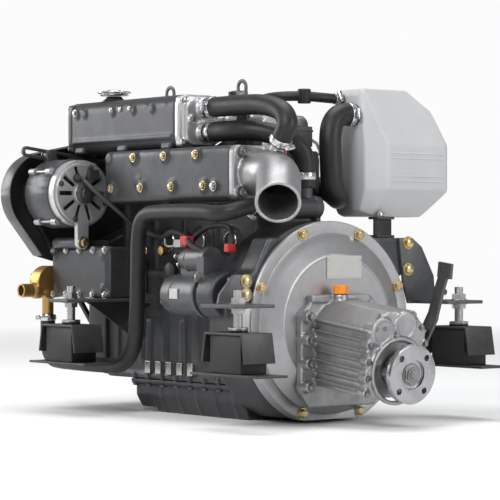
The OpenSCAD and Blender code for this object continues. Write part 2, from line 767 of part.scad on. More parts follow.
// Output shaft with its reduction gear, behind the coupling
output_r = 15;
output_len = 182;
output_gear_r = 34;
output_gear_len = 26;
output_gear_in = 148;
hub_r = 30;
module output_shaft() color("slategray") tilted() {
    shaft_aft = -gear_back + gear_wall / 2;
    translate([-output_len, 0, 0]) rod_x(output_r, output_len + shaft_aft);
    translate([-output_gear_in - output_gear_len, 0, 0]) rod_x(output_gear_r, output_gear_len);
}

// Output coupling: bolted flange on a splined hub, with a pilot recess and the shaft nut
pilot_depth = 5;
nut_r = 17;
nut_t = 4;
hub_end = gear_wall / 2 - gear_back;
module output_coupling() color("silver") tilted() {
    difference() {
        union() {
            translate([-coupling_t, 0, 0]) rod_x(coupling_d / 2, coupling_t);
            translate([hub_end, 0, 0]) rod_x(hub_r, -hub_end);
        }
        translate([-pilot_depth, 0, 0]) rod_x(pilot_d / 2, pilot_depth + over);
        for (k = [0:coupling_bolts - 1]) rotate([360 * (k + 0.5) / coupling_bolts, 0, 0])
            translate([-coupling_t - over, 0, coupling_pcd / 2]) rod_x(coupling_hole_d / 2, coupling_t + 2 * over);
    }
    translate([-pilot_depth, 0, 0]) rotate([0, 90, 0]) cylinder(r = nut_r, h = nut_t, $fn = 6);
}

// Shift lever: a flat forged arm on its pivot, with two cable holes and a ball stud
lever_t = 6;
lever_w_r = 12;
lever_up = 128;
lever_fore = 44;
lever_hole_r = 3;
lever_hole_pitch = 14;
lever_bend_shares = [[0, 0], [0.52, 0.36], [0.74, 0.7], [1, 1]];
lever_top_w = 32;
lever_top_h = 26;
ball_r = 5;
ball_len = 12;
module shift_lever() color("dimgray") tilted() translate([-gear_back - lever_in, 0, lever_z]) {
    points = [for (s = lever_bend_shares) [s.x * lever_fore, s.y * lever_up]];
    translate([0, lever_y, 0]) difference() {
        slab_y(lever_t) {
            for (i = [0:2]) stadium(points[i], points[i + 1], lever_w_r - i);
            translate(points[3]) square([lever_top_w, lever_top_h], center = true);
        }
        for (side = [-1, 1]) translate([lever_fore + side * lever_hole_pitch / 2, -over, lever_up])
            rod_y(lever_hole_r, lever_t + 2 * over);
    }
    translate([0, gear_half - gear_wall, 0]) rod_y(lever_pivot_r, lever_y - gear_half + gear_wall + lever_t);
    translate([points[2].x, lever_y + lever_t, points[2].y]) rod_y(ball_r, ball_len);
}

// Exhaust manifold: a water-jacketed box along the head, with a gas way open at its aft end
manifold_low = 12;
manifold_z = deck_z - manifold_low;
manifold_back = 43;
manifold_x = block_x + manifold_back;
gas_r = 28;
manifold_corner_r = 10;
manifold_pad_t = 3;
manifold_pad_r = 11;
manifold_bolt_row_shares = [[0.06, 0.28], [0.31, 0.28], [0.56, 0.28], [0.81, 0.28], [0.25, 0.86], [0.5, 0.86], [0.75, 0.86]];
module manifold_bolt_places() for (s = manifold_bolt_row_shares)
    translate([manifold_x - manifold_len + s.x * manifold_len, -manifold_out, manifold_z + s.y * manifold_h]) children();
module exhaust_manifold() color("dimgray") {
    difference() {
        union() {
            translate([manifold_x - manifold_len, -manifold_out, manifold_z]) slab_x(manifold_len) {
                round_rect(manifold_out - bank_half, manifold_h, manifold_corner_r);
                translate([manifold_out - bank_half - manifold_corner_r, 0]) square([manifold_corner_r, manifold_h]);
            }
            manifold_bolt_places() rotate([90, 0, 0]) cylinder(r = manifold_pad_r, h = manifold_pad_t);
        }
        translate([manifold_x - manifold_len + 2 * gas_r, -(manifold_out + bank_half) / 2, manifold_z + manifold_h / 2])
            rod_x(gas_r, manifold_len);
    }
}

manifold_bolt_r = 6.5;
manifold_bolt_t = 6;

// Exhaust elbow: square flange, a bend of true tube and the water spigot
elbow_flange_t = 14;
elbow_flange_corner_r = 14;
elbow_fore_y = -(manifold_out + bank_half) / 2;
elbow_z = manifold_z + manifold_h / 2;
bend_r = 78;
bend_angle = 48;
bend_roll_angle = 222;
outlet_len = 75;
throat_len = 45;
spigot_r = 13;
spigot_x = 50.6;
spigot_y = 7;
spigot_base = 20.3;
spigot_angle = 36.87;
spigot_len = 34;
joint_gap = 0.02;
bend_sides = 40;
bend_steps = 8;
module bend_place() translate([throat_len, 0, 0]) rotate([bend_roll_angle, 0, 0]) children();
// A bent bar as rings of points, from its mouth at the manifold to the end of the bend
function ring_point(angle, r, k) = [
    sin(angle) * (bend_r - r * cos(360 * k / bend_sides)),
    bend_r - cos(angle) * (bend_r - r * cos(360 * k / bend_sides)),
    r * sin(360 * k / bend_sides)
];
module bent_bar(r, lead, tail_angle) bend_place() {
    last = bend_steps + 1;
    rings = [
        for (k = [0:bend_sides - 1]) ring_point(0, r, k) - [lead, 0, 0],
        for (i = [0:bend_steps], k = [0:bend_sides - 1]) ring_point((bend_angle + tail_angle) * i / bend_steps, r, k)
    ];
    polyhedron(rings, concat(
        [[for (k = [0:bend_sides - 1]) k]],
        [for (i = [0:last - 1], k = [0:bend_sides - 1])
            let (a = i * bend_sides + k, b = i * bend_sides + (k + 1) % bend_sides)
            each [[a, a + bend_sides, b], [b, a + bend_sides, b + bend_sides]]],
        [[for (k = [bend_sides - 1:-1:0]) last * bend_sides + k]]
    ));
}
module exhaust_elbow() color("silver") translate([manifold_x, elbow_fore_y, elbow_z]) {
    bore = outlet_d / 2 - elbow_wall;
    difference() {
        union() {
            translate([0, -manifold_h / 2, -manifold_h / 2]) slab_x(elbow_flange_t)
                round_rect(manifold_h - manifold_pad_t, manifold_h, elbow_flange_corner_r);
            bent_bar(outlet_d / 2, throat_len - over, 0);
            translate([spigot_x, spigot_y, spigot_base]) rotate([0, spigot_angle, 0]) cylinder(r = spigot_r, h = spigot_len);
        }
        bent_bar(bore, throat_len + over, over);
    }
    bend_place() translate([0, bend_r, 0]) rotate([0, 0, bend_angle]) translate([joint_gap, -bend_r, 0]) difference() {
        rod_x(outlet_d / 2, outlet_len - joint_gap);
        translate([-over, 0, 0]) rod_x(bore, outlet_len + 2 * over);
    }
}

// Heat exchanger with its header tank: a long rounded body on top of the manifold
tank_x = tank_fore_x + tank_len;
tank_z = manifold_z + manifold_h;
tank_overlap = 13;
tank_in = bank_half - tank_overlap;
tank_flange_t = 9;
crease_t = 3;
crease_h = 22;
boss_small_r = 6;
tank_boss_shares = [0.06, 0.14, 0.42, 0.62, 0.8];
neck_out = 110;
neck_fore = 85;
neck_x = tank_fore_x + neck_fore;
tank_neck_r = 15;
tank_neck_h = 10;
module heat_exchanger() color("dimgray") difference() {
    union() {
        translate([tank_fore_x, -tank_in - tank_w, tank_z]) {
            slab_x(tank_len) round_rect(tank_w, tank_h, tank_corner_r);
            translate([0, 0, crease_h]) span([tank_flange_t, -crease_t, 0], [tank_len - tank_flange_t, tank_w / 2, crease_t]);
            for (s = tank_boss_shares) translate([s * tank_len, -crease_t, tank_h - tank_corner_r])
                rod_y(boss_small_r, tank_w / 2);
        }
        translate([neck_x, -neck_out, tank_z + tank_h - over]) cylinder(r = tank_neck_r, h = tank_neck_h + over);
    }
    translate([neck_x, -neck_out, tank_z + tank_h / 2]) cylinder(r = cap_plug_r + run_gap, h = tank_h);
}

// Bright end covers of the heat exchanger; the aft one carries two hose spigots
cover_dome_t = 26;
cover_spigot_len = 16;
cover_dome_w = 70;
cover_dome_h = 86;
cover_dome_corner_r = 20;
upper_port_z = 461;
lower_port_z = 417;
port_y = -105;
module exchanger_covers() color("silver") translate([0, -tank_in - tank_w, tank_z]) {
    inset_y = (tank_w - cover_dome_w) / 2;
    inset_z = (tank_h - cover_dome_h) / 2;
    for (end = [[tank_x, cover_dome_t], [tank_fore_x - cover_flange_t, fore_dome_t]])
        translate([end[0], 0, 0]) slab_x(cover_flange_t) round_rect(tank_w, tank_h, tank_corner_r);
    for (end = [[tank_x, cover_dome_t], [tank_fore_x - cover_flange_t - fore_dome_t, fore_dome_t + cover_flange_t]])
        translate([end[0], inset_y, inset_z]) slab_x(end[1]) round_rect(cover_dome_w, cover_dome_h, cover_dome_corner_r);
    for (z = [upper_port_z, lower_port_z])
        translate([tank_x, port_y + tank_in + tank_w, z - tank_z]) rod_x(spigot_r, cover_dome_t + cover_spigot_len);
}

// Coolant pressure cap with its two grip ears
cap_plug_r = 11;
cap_h = 12;
cap_ear_r = 5;
module coolant_cap() color("silver") translate([neck_x, -neck_out, tank_z + tank_h + tank_neck_h]) {
    translate([0, 0, -tank_neck_h]) cylinder(r = cap_plug_r, h = tank_neck_h + over);
    cylinder(r = cap_r, h = cap_h / 2);
    cylinder(r = cap_plug_r, h = cap_h);
    cap_ears();
}
module cap_ears() linear_extrude(cap_h / 2) for (side = [-1, 1]) translate([side * cap_r, 0]) circle(cap_ear_r);

// Two lifting eyes between the rocker cover and the header tank
eye_t = 3;
eye_y = -(rocker_half + rocker_flange_out + tank_in) / 2;
eye_r = 15;
eye_hole_r = 8;
eye_top = 512;
eye_foot_half = 20;
eye_back = 138;
eye_fore = 60;
eye_places = [tank_x - eye_back, block_x - eye_fore];
module lifting_eyes() color("darkslategray") for (x = eye_places) difference() {
    translate([x, eye_y - eye_t / 2, 0]) slab_y(eye_t) {
        stadium([0, head_z + eye_r], [0, eye_top - eye_r], eye_r);
        translate([-eye_foot_half, head_z]) square([2 * eye_foot_half, eye_r]);
    }
    translate([x, eye_y - eye_t, eye_top - eye_r]) rod_y(eye_hole_r, 2 * eye_t);
}

// Raw-water pump: brass body, cover, inlet pipe to port and outlet pipe down
sea_pump_y = -176;
sea_pump_z = 146;
sea_pump_r = 31;
sea_pump_len = 30;
sea_cover_t = 6;
inlet_r = 13;
inlet_len = 30;
outlet_pipe_len = 62;
sea_pump_x = case_fore_x - drive_fore;
sea_screws = 6;
sea_screw_r = 3;
pipe_wall = 3;
inlet_z = -16;
module raw_water_pump() color("peru") translate([sea_pump_x, sea_pump_y, sea_pump_z]) {
    translate([-sea_pump_len, 0, 0]) rod_x(sea_pump_r, sea_pump_len);
    translate([-sea_pump_len - sea_cover_t, 0, 0]) rod_x(sea_pump_r - sea_cover_t / 2, sea_cover_t);
    for (k = [0:sea_screws - 1]) rotate([360 * k / sea_screws, 0, 0])
        translate([-sea_pump_len - 1.5 * sea_cover_t, 0, sea_pump_r - 1.5 * sea_cover_t]) rod_x(sea_screw_r, sea_cover_t);
    difference() {
        union() {
            translate([-sea_pump_len / 2, -sea_pump_r, inlet_z]) rod_y(inlet_r + pipe_wall, inlet_r);
            translate([-sea_pump_len / 2, -sea_pump_r - inlet_len, inlet_z]) rod_y(inlet_r, inlet_len + over);
        }
        translate([-sea_pump_len / 2, -sea_pump_r - inlet_len, inlet_z]) rod_y(inlet_r - pipe_wall, inlet_len);
    }
    translate([-sea_pump_len / 2, 0, -outlet_pipe_len]) cylinder(r = raw_hose_r - pipe_wall, h = outlet_pipe_len);
}

// Raw-water hose from the pump, under the manifold and round to the gearbox oil cooler
raw_turn_x = -545;
raw_fore_route = [
    [-845, -176, 84], [-845, -176, 64], [-845, -176, 40], [-841, -176, 16], [-826, -177, 1],
    [-800, -178, -3], [-740, -182, -4], [-660, -187, -4], [-610, -189, -3], [-574, -190, 2],
    [-545, -190, 24]
];
raw_aft_route = [
    [-533, -190, 56], [-528, -190, 110], [-526, -190, 170], [-524, -190, 225],
    [-516, -190, 256], [-494, -190, 271], [-450, -190, 274], [-390, -190, 274], [-330, -190, 273],
    [-290, -188, 270], [-264, -175, 274], [-255, -154, 281], [-255, -140, 282], [-255, -129, 282], [-255, -118, 282]
];
raw_route = concat(fitted(raw_fore_route, sea_pump_x - sea_pump_len / 2, raw_turn_x), raw_aft_route);
module raw_water_hose() color([0.09, 0.09, 0.1]) swept_tube(raw_route, raw_hose_r, [1, 0, 0]);

// Gearbox oil cooler: a plain tube across the top of the flywheel housing
cooler_r = 20;
cooler_y = -118;
cooler_len = 124;
cooler_neck = 18;
cooler_x = -255;
cooler_rise = 24;
cooler_z = crank_z + ring_r + cooler_rise;
cooler_port_y = -24;
cooler_port_h = 34;
saddle_half = 5;
module gear_oil_cooler() color("dimgray") {
    translate([cooler_x, cooler_y, cooler_z]) rod_y(raw_hose_r - pipe_wall, cooler_len / 2);
    translate([cooler_x, cooler_y + cooler_neck, cooler_z]) rod_y(cooler_r, cooler_len - cooler_neck);
    translate([cooler_x, cooler_port_y, cooler_z]) cylinder(r = spigot_r, h = cooler_port_h);
    span([cooler_x - cooler_r / 2, -saddle_half, crank_z + ring_r], [cooler_x + cooler_r / 2, saddle_half, cooler_z - cooler_r / 2]);
}

// Hose from the oil cooler up to the lower port of the heat exchanger
lower_route = [
    [-255, -24, 316], [-255, -24, 330], [-255, -24, 346], [-256, -30, 378], [-270, -50, 401],
    [-300, -78, 413], [-334, -98, 417], [-366, -105, 417], [-398, -105, 417], [-428, -105, 417]
];
port_x = tank_x + cover_dome_t + cover_spigot_len;
module lower_cooler_hose() color([0.09, 0.09, 0.1])
    swept_tube(fitted(lower_route, cooler_x, port_x), cool_hose_r, [1, 0, 0]);

// Hose from the upper port of the heat exchanger round to the exhaust elbow
upper_fore_route = [[-428, -105, 461], [-405, -105, 461], [-370, -105, 461], [-325, -105, 461], [-276, -105, 459]];
upper_aft_route = [
    [-236, -106, 452], [-208, -108, 440], [-196, -111, 421], [-204, -113, 404], [-210, -113, 396], [-216, -113, 388]
];
upper_turn_x = -276;
upper_route = concat(fitted(upper_fore_route, port_x, upper_turn_x), upper_aft_route);
module upper_cooler_hose() color([0.09, 0.09, 0.1]) swept_tube(upper_route, cool_hose_r, [0, 0, 1]);

// Worm-drive clips around the hose ends
clip_w = 12;
clip_t = 1.5;
screw_r = 4;
screw_len = 18;
module hose_clip(r) {
    difference() {
        rod_x(r + clip_t + seat_gap, clip_w);
        translate([-over, 0, 0]) rod_x(r + seat_gap / 3, clip_w + 2 * over);
    }
    translate([clip_w / 2, -screw_len / 2, r + clip_t + seat_gap + screw_r / 2]) rod_y(screw_r, screw_len);
}
module hose_clips() color("lightgray") {
    for (z = [upper_port_z, lower_port_z])
        translate([tank_x + cover_dome_t + 2 * clip_w, port_y, z]) rotate([z == upper_port_z ? -20 : 150, 0, 0]) hose_clip(cool_hose_r);
    translate([sea_pump_x - sea_pump_len / 2, sea_pump_y, sea_pump_z - outlet_pipe_len - clip_t])
        rotate([0, 90, 0]) hose_clip(raw_hose_r);
}

// Alternator: stator body with its front bracket, ears and cooling ribs
alternator_fore = 3;
alternator_x = case_fore_x - alternator_fore;
alternator_end_x = alternator_x + alternator_len;
rotor_r = 46;
rotor_gap = 1;
rotor_in = 10;
rotor_shaft_r = 8.5;
ear_tip_r = 10;
strap_t = 6;
strap_ear = [-200, 386];
strap_far = [-65, 368];
module alternator_body() color("silver") difference() {
    union() {
        translate([alternator_x, -alternator_out, alternator_z]) rod_x(alternator_r, alternator_len);
        translate([alternator_x - strap_t, 0, 0]) slab_x(strap_t + rotor_in)
            stadium([-alternator_out, alternator_z], strap_ear, ear_tip_r);
    }
    translate([alternator_x + rotor_in, -alternator_out, alternator_z]) rod_x(rotor_r + rotor_gap, alternator_len);
    translate([alternator_x - 2 * rotor_in, -alternator_out, alternator_z]) rod_x(rotor_shaft_r + run_gap, alternator_len);
}

// Bright slotted rear bracket of the alternator with its lower ear
rear_t = 24;
rear_wall = 5;
rear_step = 2;
rear_slots = 10;
slot_half = 4;
pivot_z = 220;
pivot_ear_t = 10;
pivot_r = 12;
pivot_bolt_r = 5;
rear_boss_r = 18;
module alternator_rear_bracket() color("whitesmoke") {
    rear_r = alternator_r - rear_step;
    difference() {
        union() {
            translate([alternator_end_x, -alternator_out, alternator_z]) {
                rod_x(rear_r, rear_t - rear_wall);
                rod_x(rear_r - rear_wall, rear_t);
                rod_x(rear_boss_r, rear_t + rear_wall);
            }
            translate([alternator_end_x + rear_t - pivot_ear_t, 0, 0]) slab_x(pivot_ear_t)
                stadium([-alternator_out, alternator_z - rear_r / 2], [-alternator_out, pivot_z], pivot_r);
        }
        translate([alternator_end_x - over, -alternator_out, alternator_z]) {
            rod_x(rear_r - 2 * rear_wall, rear_t - rear_wall);
            rod_x(rotor_shaft_r + run_gap, rear_t);
            for (k = [0:rear_slots - 1]) rotate([360 * (k + 0.5) / rear_slots, 0, 0])
                span([0, -slot_half, rear_boss_r + slot_half], [rear_t + 2 * over, slot_half, rear_r - 2 * rear_wall]);
        }
        translate([alternator_end_x, -alternator_out, pivot_z]) rod_x(pivot_bolt_r + seat_gap, 2 * rear_t);
    }
}

// Alternator rotor with its shaft and pulley
module alternator_rotor() color("slategray") {
    translate([belt_x, -alternator_out, alternator_z]) pulley(alternator_pulley_r, rotor_shaft_r);
    translate([belt_x - pulley_half, -alternator_out, alternator_z]) rod_x(rotor_shaft_r, alternator_end_x + rotor_in - belt_x + pulley_half);
    translate([alternator_x + rotor_in + rotor_gap, -alternator_out, alternator_z])
        rod_x(rotor_r, alternator_len - rotor_in - 2 * rotor_gap);
}

// Alternator mounting: pivot tube on a foot, the slotted strap and its post
mount_foot_h = 12;
mount_foot_len = 60;
mount_foot_in = 120;
mount_tube_r = 10;
post_r = 9;
strap_r = 10;
strap_tip = [-245, 392];
strap_slot_r = 4;
module alternator_mounting() color("dimgray") {
    tube_end = alternator_end_x + rear_t - pivot_ear_t;
    translate([alternator_x + rotor_in, -alternator_out, pivot_z]) rod_x(mount_tube_r, tube_end - alternator_x - rotor_in);
    span([alternator_x + 2 * rotor_in, -alternator_out, drive_top],
         [alternator_x + 2 * rotor_in + mount_foot_len, -mount_foot_in, drive_top + mount_foot_h]);
    translate([tube_end, -alternator_out, pivot_z]) {
        rod_x(pivot_bolt_r, pivot_ear_t);
        translate([pivot_ear_t, 0, 0]) bolt_x(2 * pivot_bolt_r, pivot_bolt_r + over);
    }
    translate([alternator_x - 2 * strap_t, 0, 0]) slab_x(strap_t) difference() {
        stadium(strap_far, strap_tip, strap_r);
        stadium(strap_tip, (strap_far + strap_tip) / 2, strap_slot_r);
    }
    translate([alternator_x - strap_t, strap_far.x, strap_far.y]) rod_x(post_r, block_fore_x + head_inset - alternator_x + strap_t);
}

// Belt guard: a pressed tray in front of the belt, open below at the starboard side
guard_t = 2.5;
guard_x = belt_x - guard_lead;
guard_cut_shares = [[-4, -2], [4, -2], [4, 0.36], [0.4, 0.36], [-4, 0.92]];
guard_post_r = 8;
guard_post_points = [[40, 215], [22, 268]];
module guard_loop(r) belt_loop(shaft_points, [r, r, r]);
module guard_cut() translate([0, crank_z]) polygon([for (p = guard_cut_shares) [p.x * guard_r, p.y * 2 * guard_r]]);
module belt_guard() color("dimgray") {
    translate([guard_x, 0, 0]) {
        slab_x(guard_t) difference() {
            guard_loop(guard_r);
            guard_cut();
        }
        slab_x(guard_w) difference() {
            guard_loop(guard_r);
            guard_loop(guard_r - guard_t);
            guard_cut();
        }
    }
    for (p = guard_post_points) translate([guard_x, p.x, p.y]) rod_x(guard_post_r, case_fore_x - guard_x);
}

// Poly belt around the three pulleys
module drive_belt() color([0.07, 0.07, 0.07]) translate([belt_x - belt_w / 2, 0, 0]) slab_x(belt_w) difference() {
    belt_loop(shaft_points, [for (r = pulley_rs) r + belt_t]);
    belt_loop(shaft_points, [for (r = pulley_rs) r + belt_seat]);
}
belt_seat = 0.4;

// Coolant pump body on the gear case
coolant_pump_r = 42;
coolant_pump_len = 26;
coolant_shaft_r = 8;
module coolant_pump() color("dimgray") translate([case_fore_x - coolant_pump_len, 0, pump_z]) difference() {
    union() {
        translate([coolant_pump_len / 2, 0, 0]) rod_x(coolant_pump_r, coolant_pump_len / 2);
        rod_x(coolant_pump_r / 2, coolant_pump_len);
    }
    translate([-over, 0, 0]) rod_x(coolant_shaft_r + run_gap, coolant_pump_len);
}

// Coolant pump pulley with its shaft
module coolant_pump_pulley() color("dimgray") {
    translate([belt_x, 0, pump_z]) pulley(pump_pulley_r, coolant_shaft_r);
    translate([belt_x - pulley_half, 0, pump_z]) rod_x(coolant_shaft_r, case_fore_x - belt_x + pulley_half - 2 * over);
}

// Starter motor with its solenoid on top and its nose in the housing's boss
starter_r = 36;
starter_len = 112;
starter_nose_r = 30;
starter_nose_len = 8;
starter_pinion_r = 12;
starter_pinion_len = 24;
solenoid_r = 22;
solenoid_len = 80;
solenoid_rise = 62;
starter_band_t = 2;
starter_band_len = 10;
starter_band_shares = [0.1, 0.75];
module starter_motor() color("gray") translate([block_x, -boss_out, crank_z + boss_z]) {
    translate([-starter_nose_len - starter_len, 0, 0]) rod_x(starter_r, starter_len);
    for (share = starter_band_shares) translate([-starter_nose_len - share * starter_len - starter_band_len, 0, 0])
        rod_x(starter_r + starter_band_t, starter_band_len);
    translate([-starter_nose_len - over, 0, 0]) rod_x(starter_nose_r, starter_nose_len + over);
    translate([-over, 0, 0]) rod_x(starter_pinion_r, starter_pinion_len + over);
    translate([-starter_nose_len - solenoid_len, 0, solenoid_rise]) rod_x(solenoid_r, solenoid_len);
    translate([-starter_nose_len - solenoid_len - starter_pinion_r, 0, solenoid_rise]) rod_x(solenoid_r / 2, starter_pinion_r + over);
    span([-starter_nose_len - solenoid_len, -starter_pinion_r, starter_r - 2 * starter_band_t],
         [-starter_nose_len - over, starter_pinion_r, solenoid_rise]);
}

// Dipstick tube on its boss, on the port side of the crankcase
dip_behind = 23;
dip_x = drive_x + dip_behind;
dip_tube_r = 5;
dip_r = 2;
dip_low = 118;
dip_top = 192;
dip_out = 12;
dip_boss_half = 9;
module dipstick_tube() color("silver") {
    difference() {
        union() {
            translate([dip_x, -crankcase_half - dip_out, dip_low]) cylinder(r = dip_tube_r, h = dip_top - dip_low);
            span([dip_x - dip_boss_half, -crankcase_half - dip_out - dip_tube_r, dip_low - dip_boss_half],
                 [dip_x + dip_boss_half, -crankcase_half, dip_low + dip_boss_half]);
        }
        translate([dip_x, -crankcase_half - dip_out, dip_low]) cylinder(r = dip_r + run_gap, h = dip_top);
    }
}

// Engine oil dipstick with its ring
grip_r = 9;
grip_wire = 2;
module dipstick() color("lightgray") translate([dip_x, -crankcase_half - dip_out, 0]) {
    translate([0, 0, dip_low + over]) cylinder(r = dip_r, h = dip_top - dip_low);
    translate([0, 0, dip_top + seat_gap]) cylinder(r = dip_tube_r, h = dip_tube_r);
    translate([0, 0, dip_top + dip_tube_r + grip_r]) rotate([90, 0, 0]) rotate_extrude() translate([grip_r, 0]) circle(grip_wire);
}

// Relay box on its bracket behind the cylinder head
relay_y = [-16, 26];
relay_z = [390, 426];
relay_len = 34;
relay_plate_t = 4;
relay_plate_low = 352;
module relay_box() color("black") {
    head_end = block_x - head_inset;
    span([head_end, relay_y[0], relay_plate_low], [head_end + relay_plate_t, relay_y[1], relay_z[1]]);
    span([head_end + relay_plate_t, relay_y[0], relay_z[0]], [head_end + relay_plate_t + relay_len, relay_y[1], relay_z[1]]);
}

// Intake silencer: a light moulded drum with big round corners
silencer_shares = [[0.08, 0], [0.74, 0], [1, 0.2], [1, 0.57], [0.85, 0.84], [0.58, 1], [0.06, 1], [0, 0.94], [0, 0.06]];
silencer_end_share = 0.92;
silencer_lip = 12;
silencer_aft = 3;
silencer_x = housing_x + silencer_aft;
module silencer_outline() share_outline(silencer_shares, silencer_w, silencer_h);
module intake_silencer() color("lightgray") translate([silencer_x - silencer_t, silencer_in, silencer_z]) {
    translate([silencer_lip, 0, 0]) slab_x(silencer_t - 2 * silencer_lip) silencer_outline();
    inset = (1 - silencer_end_share) / 2;
    translate([0, inset * silencer_w, inset * silencer_h]) slab_x(silencer_t)
        scale([silencer_end_share, silencer_end_share]) silencer_outline();
}

// Bracket that carries the silencer on the housing's ear
silencer_foot_y = 128;
silencer_foot_w = 40;
silencer_foot_t = 5;
silencer_foot_fore = 12;
silencer_foot_x = housing_x - silencer_foot_fore;
silencer_foot_len = 26;
module silencer_bracket() color("black") translate([silencer_foot_x, silencer_foot_y, 0]) {
    low = crank_z + ear_top;
    high = silencer_z;
    translate([0, 0, low]) cube([silencer_foot_t, silencer_foot_w, high - low]);
    for (z = [low, high - silencer_foot_t]) translate([-silencer_foot_len / 2, 0, z])
        cube([silencer_foot_len, silencer_foot_w, silencer_foot_t]);
}

// Rubber intake duct from the silencer down and forward to the intake manifold
duct_aft_route = [
    [-292, 118, 450], [-292, 108, 450], [-292, 96, 450], [-291, 80, 445], [-289, 66, 430],
    [-287, 60, 405], [-286, 60, 368], [-286, 62, 335], [-289, 70, 312], [-298, 86, 301], [-314, 96, 303]
];
duct_fore_route = [[-334, 97, 313], [-352, 97, 318], [-366, 97, 318], [-380, 97, 318]];
duct_turn_x = -334;
plenum_aft = 16.5;
plenum_x = cylinder_x0 + plenum_aft;
duct_route = concat(duct_aft_route, fitted(duct_fore_route, duct_turn_x, plenum_x));
module intake_duct() color([0.06, 0.06, 0.07]) swept_tube(duct_route, duct_r, [1, 0, 0]);

// Intake manifold: a round plenum with a branch to each cylinder
plenum_y = 97;
plenum_z = 318;
plenum_r = 21;
plenum_over = 28;
plenum_len = cylinder_run + plenum_over;
branch_r = 14;
module intake_manifold() color("silver") {
    translate([plenum_x - plenum_len, plenum_y, plenum_z]) rod_x(plenum_r, plenum_len);
    for (i = [0:cylinder_count - 1]) translate([cylinder_x(i), bank_half, deck_z + branch_r + over])
        rod_y(branch_r, plenum_y - bank_half);
}

// Breather hose from the rocker cover to the silencer
breather_route = [
    [-420, 0, 448], [-420, 0, 456], [-420, 0, 463], [-414, 1, 475], [-396, 7, 481],
    [-366, 20, 483], [-342, 45, 483], [-329, 74, 481], [-326, 98, 480], [-326, 108, 480], [-326, 118, 480]
];
breather_can_r = 12;
breather_can_h = 26;
module breather_hose() color([0.06, 0.06, 0.07]) {
    swept_tube(breather_route, breather_r, [1, 0, 0]);
    translate(breather_route[6] - [0, 0, breather_can_h / 2])
        cylinder(r = breather_can_r, h = breather_can_h);
}

// Oil filler cap on its stem
filler_x = -478;
filler_stem_r = 11;
filler_stem_h = 38;
filler_knob_r = 18;
filler_knob_h = 12;
module oil_filler_cap() color("black") translate([filler_x, 0, rocker_z]) {
    cylinder(r = filler_stem_r, h = filler_stem_h);
    translate([0, 0, filler_stem_h]) cylinder(r = filler_knob_r, h = filler_knob_h);
}

// Injection pump with its governor, on the back of the gear case
pump_in = 107;
pump_w = 42;
pump_low = 150;
pump_body_h = 66;
pump_body_len = 130;
governor_len = 42;
valve_r = 7;
valve_h = 20;
valve_pitch = 26;
lever_shaft_r = 5;
lever_shaft_len = 12;
module injection_pump() color("gray") translate([block_fore_x, pump_in, pump_low]) difference() {
    union() {
        cube([pump_body_len, pump_w, pump_body_h]);
        translate([pump_body_len, 0, pump_body_h / 8]) cube([governor_len, pump_w, pump_body_h]);
        for (i = [0:cylinder_count - 1]) translate([(i + 1) * valve_pitch, pump_w / 2, pump_body_h]) cylinder(r = valve_r, h = valve_h);
    }
    for (p = [throttle_place, stop_place]) translate([p.x, pump_w / 2, p.y])
        rod_y(lever_shaft_r + run_gap, pump_w);
}
throttle_place = [152, 56];
stop_place = [112, 30];

// Control levers of the injection pump, each on its own shaft
arm_len = 46;
arm_r = 8;
arm_t = 4;
module control_lever(place, angle) translate([block_fore_x + place.x, pump_in, pump_low + place.y]) {
    translate([0, pump_w / 2 + over, 0]) rod_y(lever_shaft_r, pump_w / 2 + lever_shaft_len);
    translate([0, pump_w + seat_gap + lever_shaft_len / 2, 0]) slab_y(arm_t) difference() {
        stadium([0, 0], arm_len * [sin(angle), cos(angle)], arm_r);
        translate(arm_len * [sin(angle), cos(angle)]) circle(arm_r / 3);
    }
}
throttle_angle = -20;
stop_angle = 160;
module throttle_lever() color("goldenrod") control_lever(throttle_place, throttle_angle);
module stop_lever() color("goldenrod") control_lever(stop_place, stop_angle);

// Injectors and the steel lines from the injection pump
injector_r = 7;
injector_y = 64;
injector_h = 34;
line_r = 3;
line_rise = 8;
line_bow = 10;
module injector_lines() color("lightgray") for (i = [0:cylinder_count - 1]) {
    x = cylinder_x(i);
    valve_x = block_fore_x + (cylinder_count - i) * valve_pitch;
    pump_top = pump_low + pump_body_h + valve_h;
    line_y = pump_in + pump_w / 2;
    line_z = head_z + injector_h - 2 * line_r;
    translate([x, injector_y, head_z]) cylinder(r = injector_r, h = injector_h);
    swept_tube([
        [valve_x, line_y, pump_top], [valve_x, line_y, pump_top + line_rise], [valve_x, line_y, pump_top + 2 * line_rise],
        [(valve_x + x) / 2, line_y + line_bow, plenum_z + plenum_r], [x, line_y, head_z],
        [x, injector_y + 4 * line_rise, line_z], [x, injector_y + 2 * line_rise, line_z], [x, injector_y, line_z]
    ], line_r, [1, 0, 0]);
}

// Fuel filter and oil filter on the starboard side, which the photograph does not show
oil_filter_x = -454;
oil_filter_z = 46;
oil_filter_r = 37;
oil_filter_len = 92;
fuel_filter_x = -478;
fuel_filter_y = 142;
fuel_filter_z = 188;
fuel_filter_r = 30;
fuel_filter_h = 84;
fuel_head_h = 20;
module service_filters() color("whitesmoke") {
    translate([oil_filter_x, crankcase_half, oil_filter_z]) rod_y(oil_filter_r, oil_filter_len);
    translate([fuel_filter_x, fuel_filter_y, fuel_filter_z]) cylinder(r = fuel_filter_r, h = fuel_filter_h);
    translate([fuel_filter_x, fuel_filter_y, fuel_filter_z + fuel_filter_h]) cylinder(r = 0.9 * fuel_filter_r, h = fuel_head_h);
    span([fuel_filter_x - fuel_head_h, bank_half, fuel_filter_z + fuel_filter_h],
         [fuel_filter_x + fuel_head_h, fuel_filter_y, fuel_filter_z + fuel_filter_h + fuel_head_h]);
}

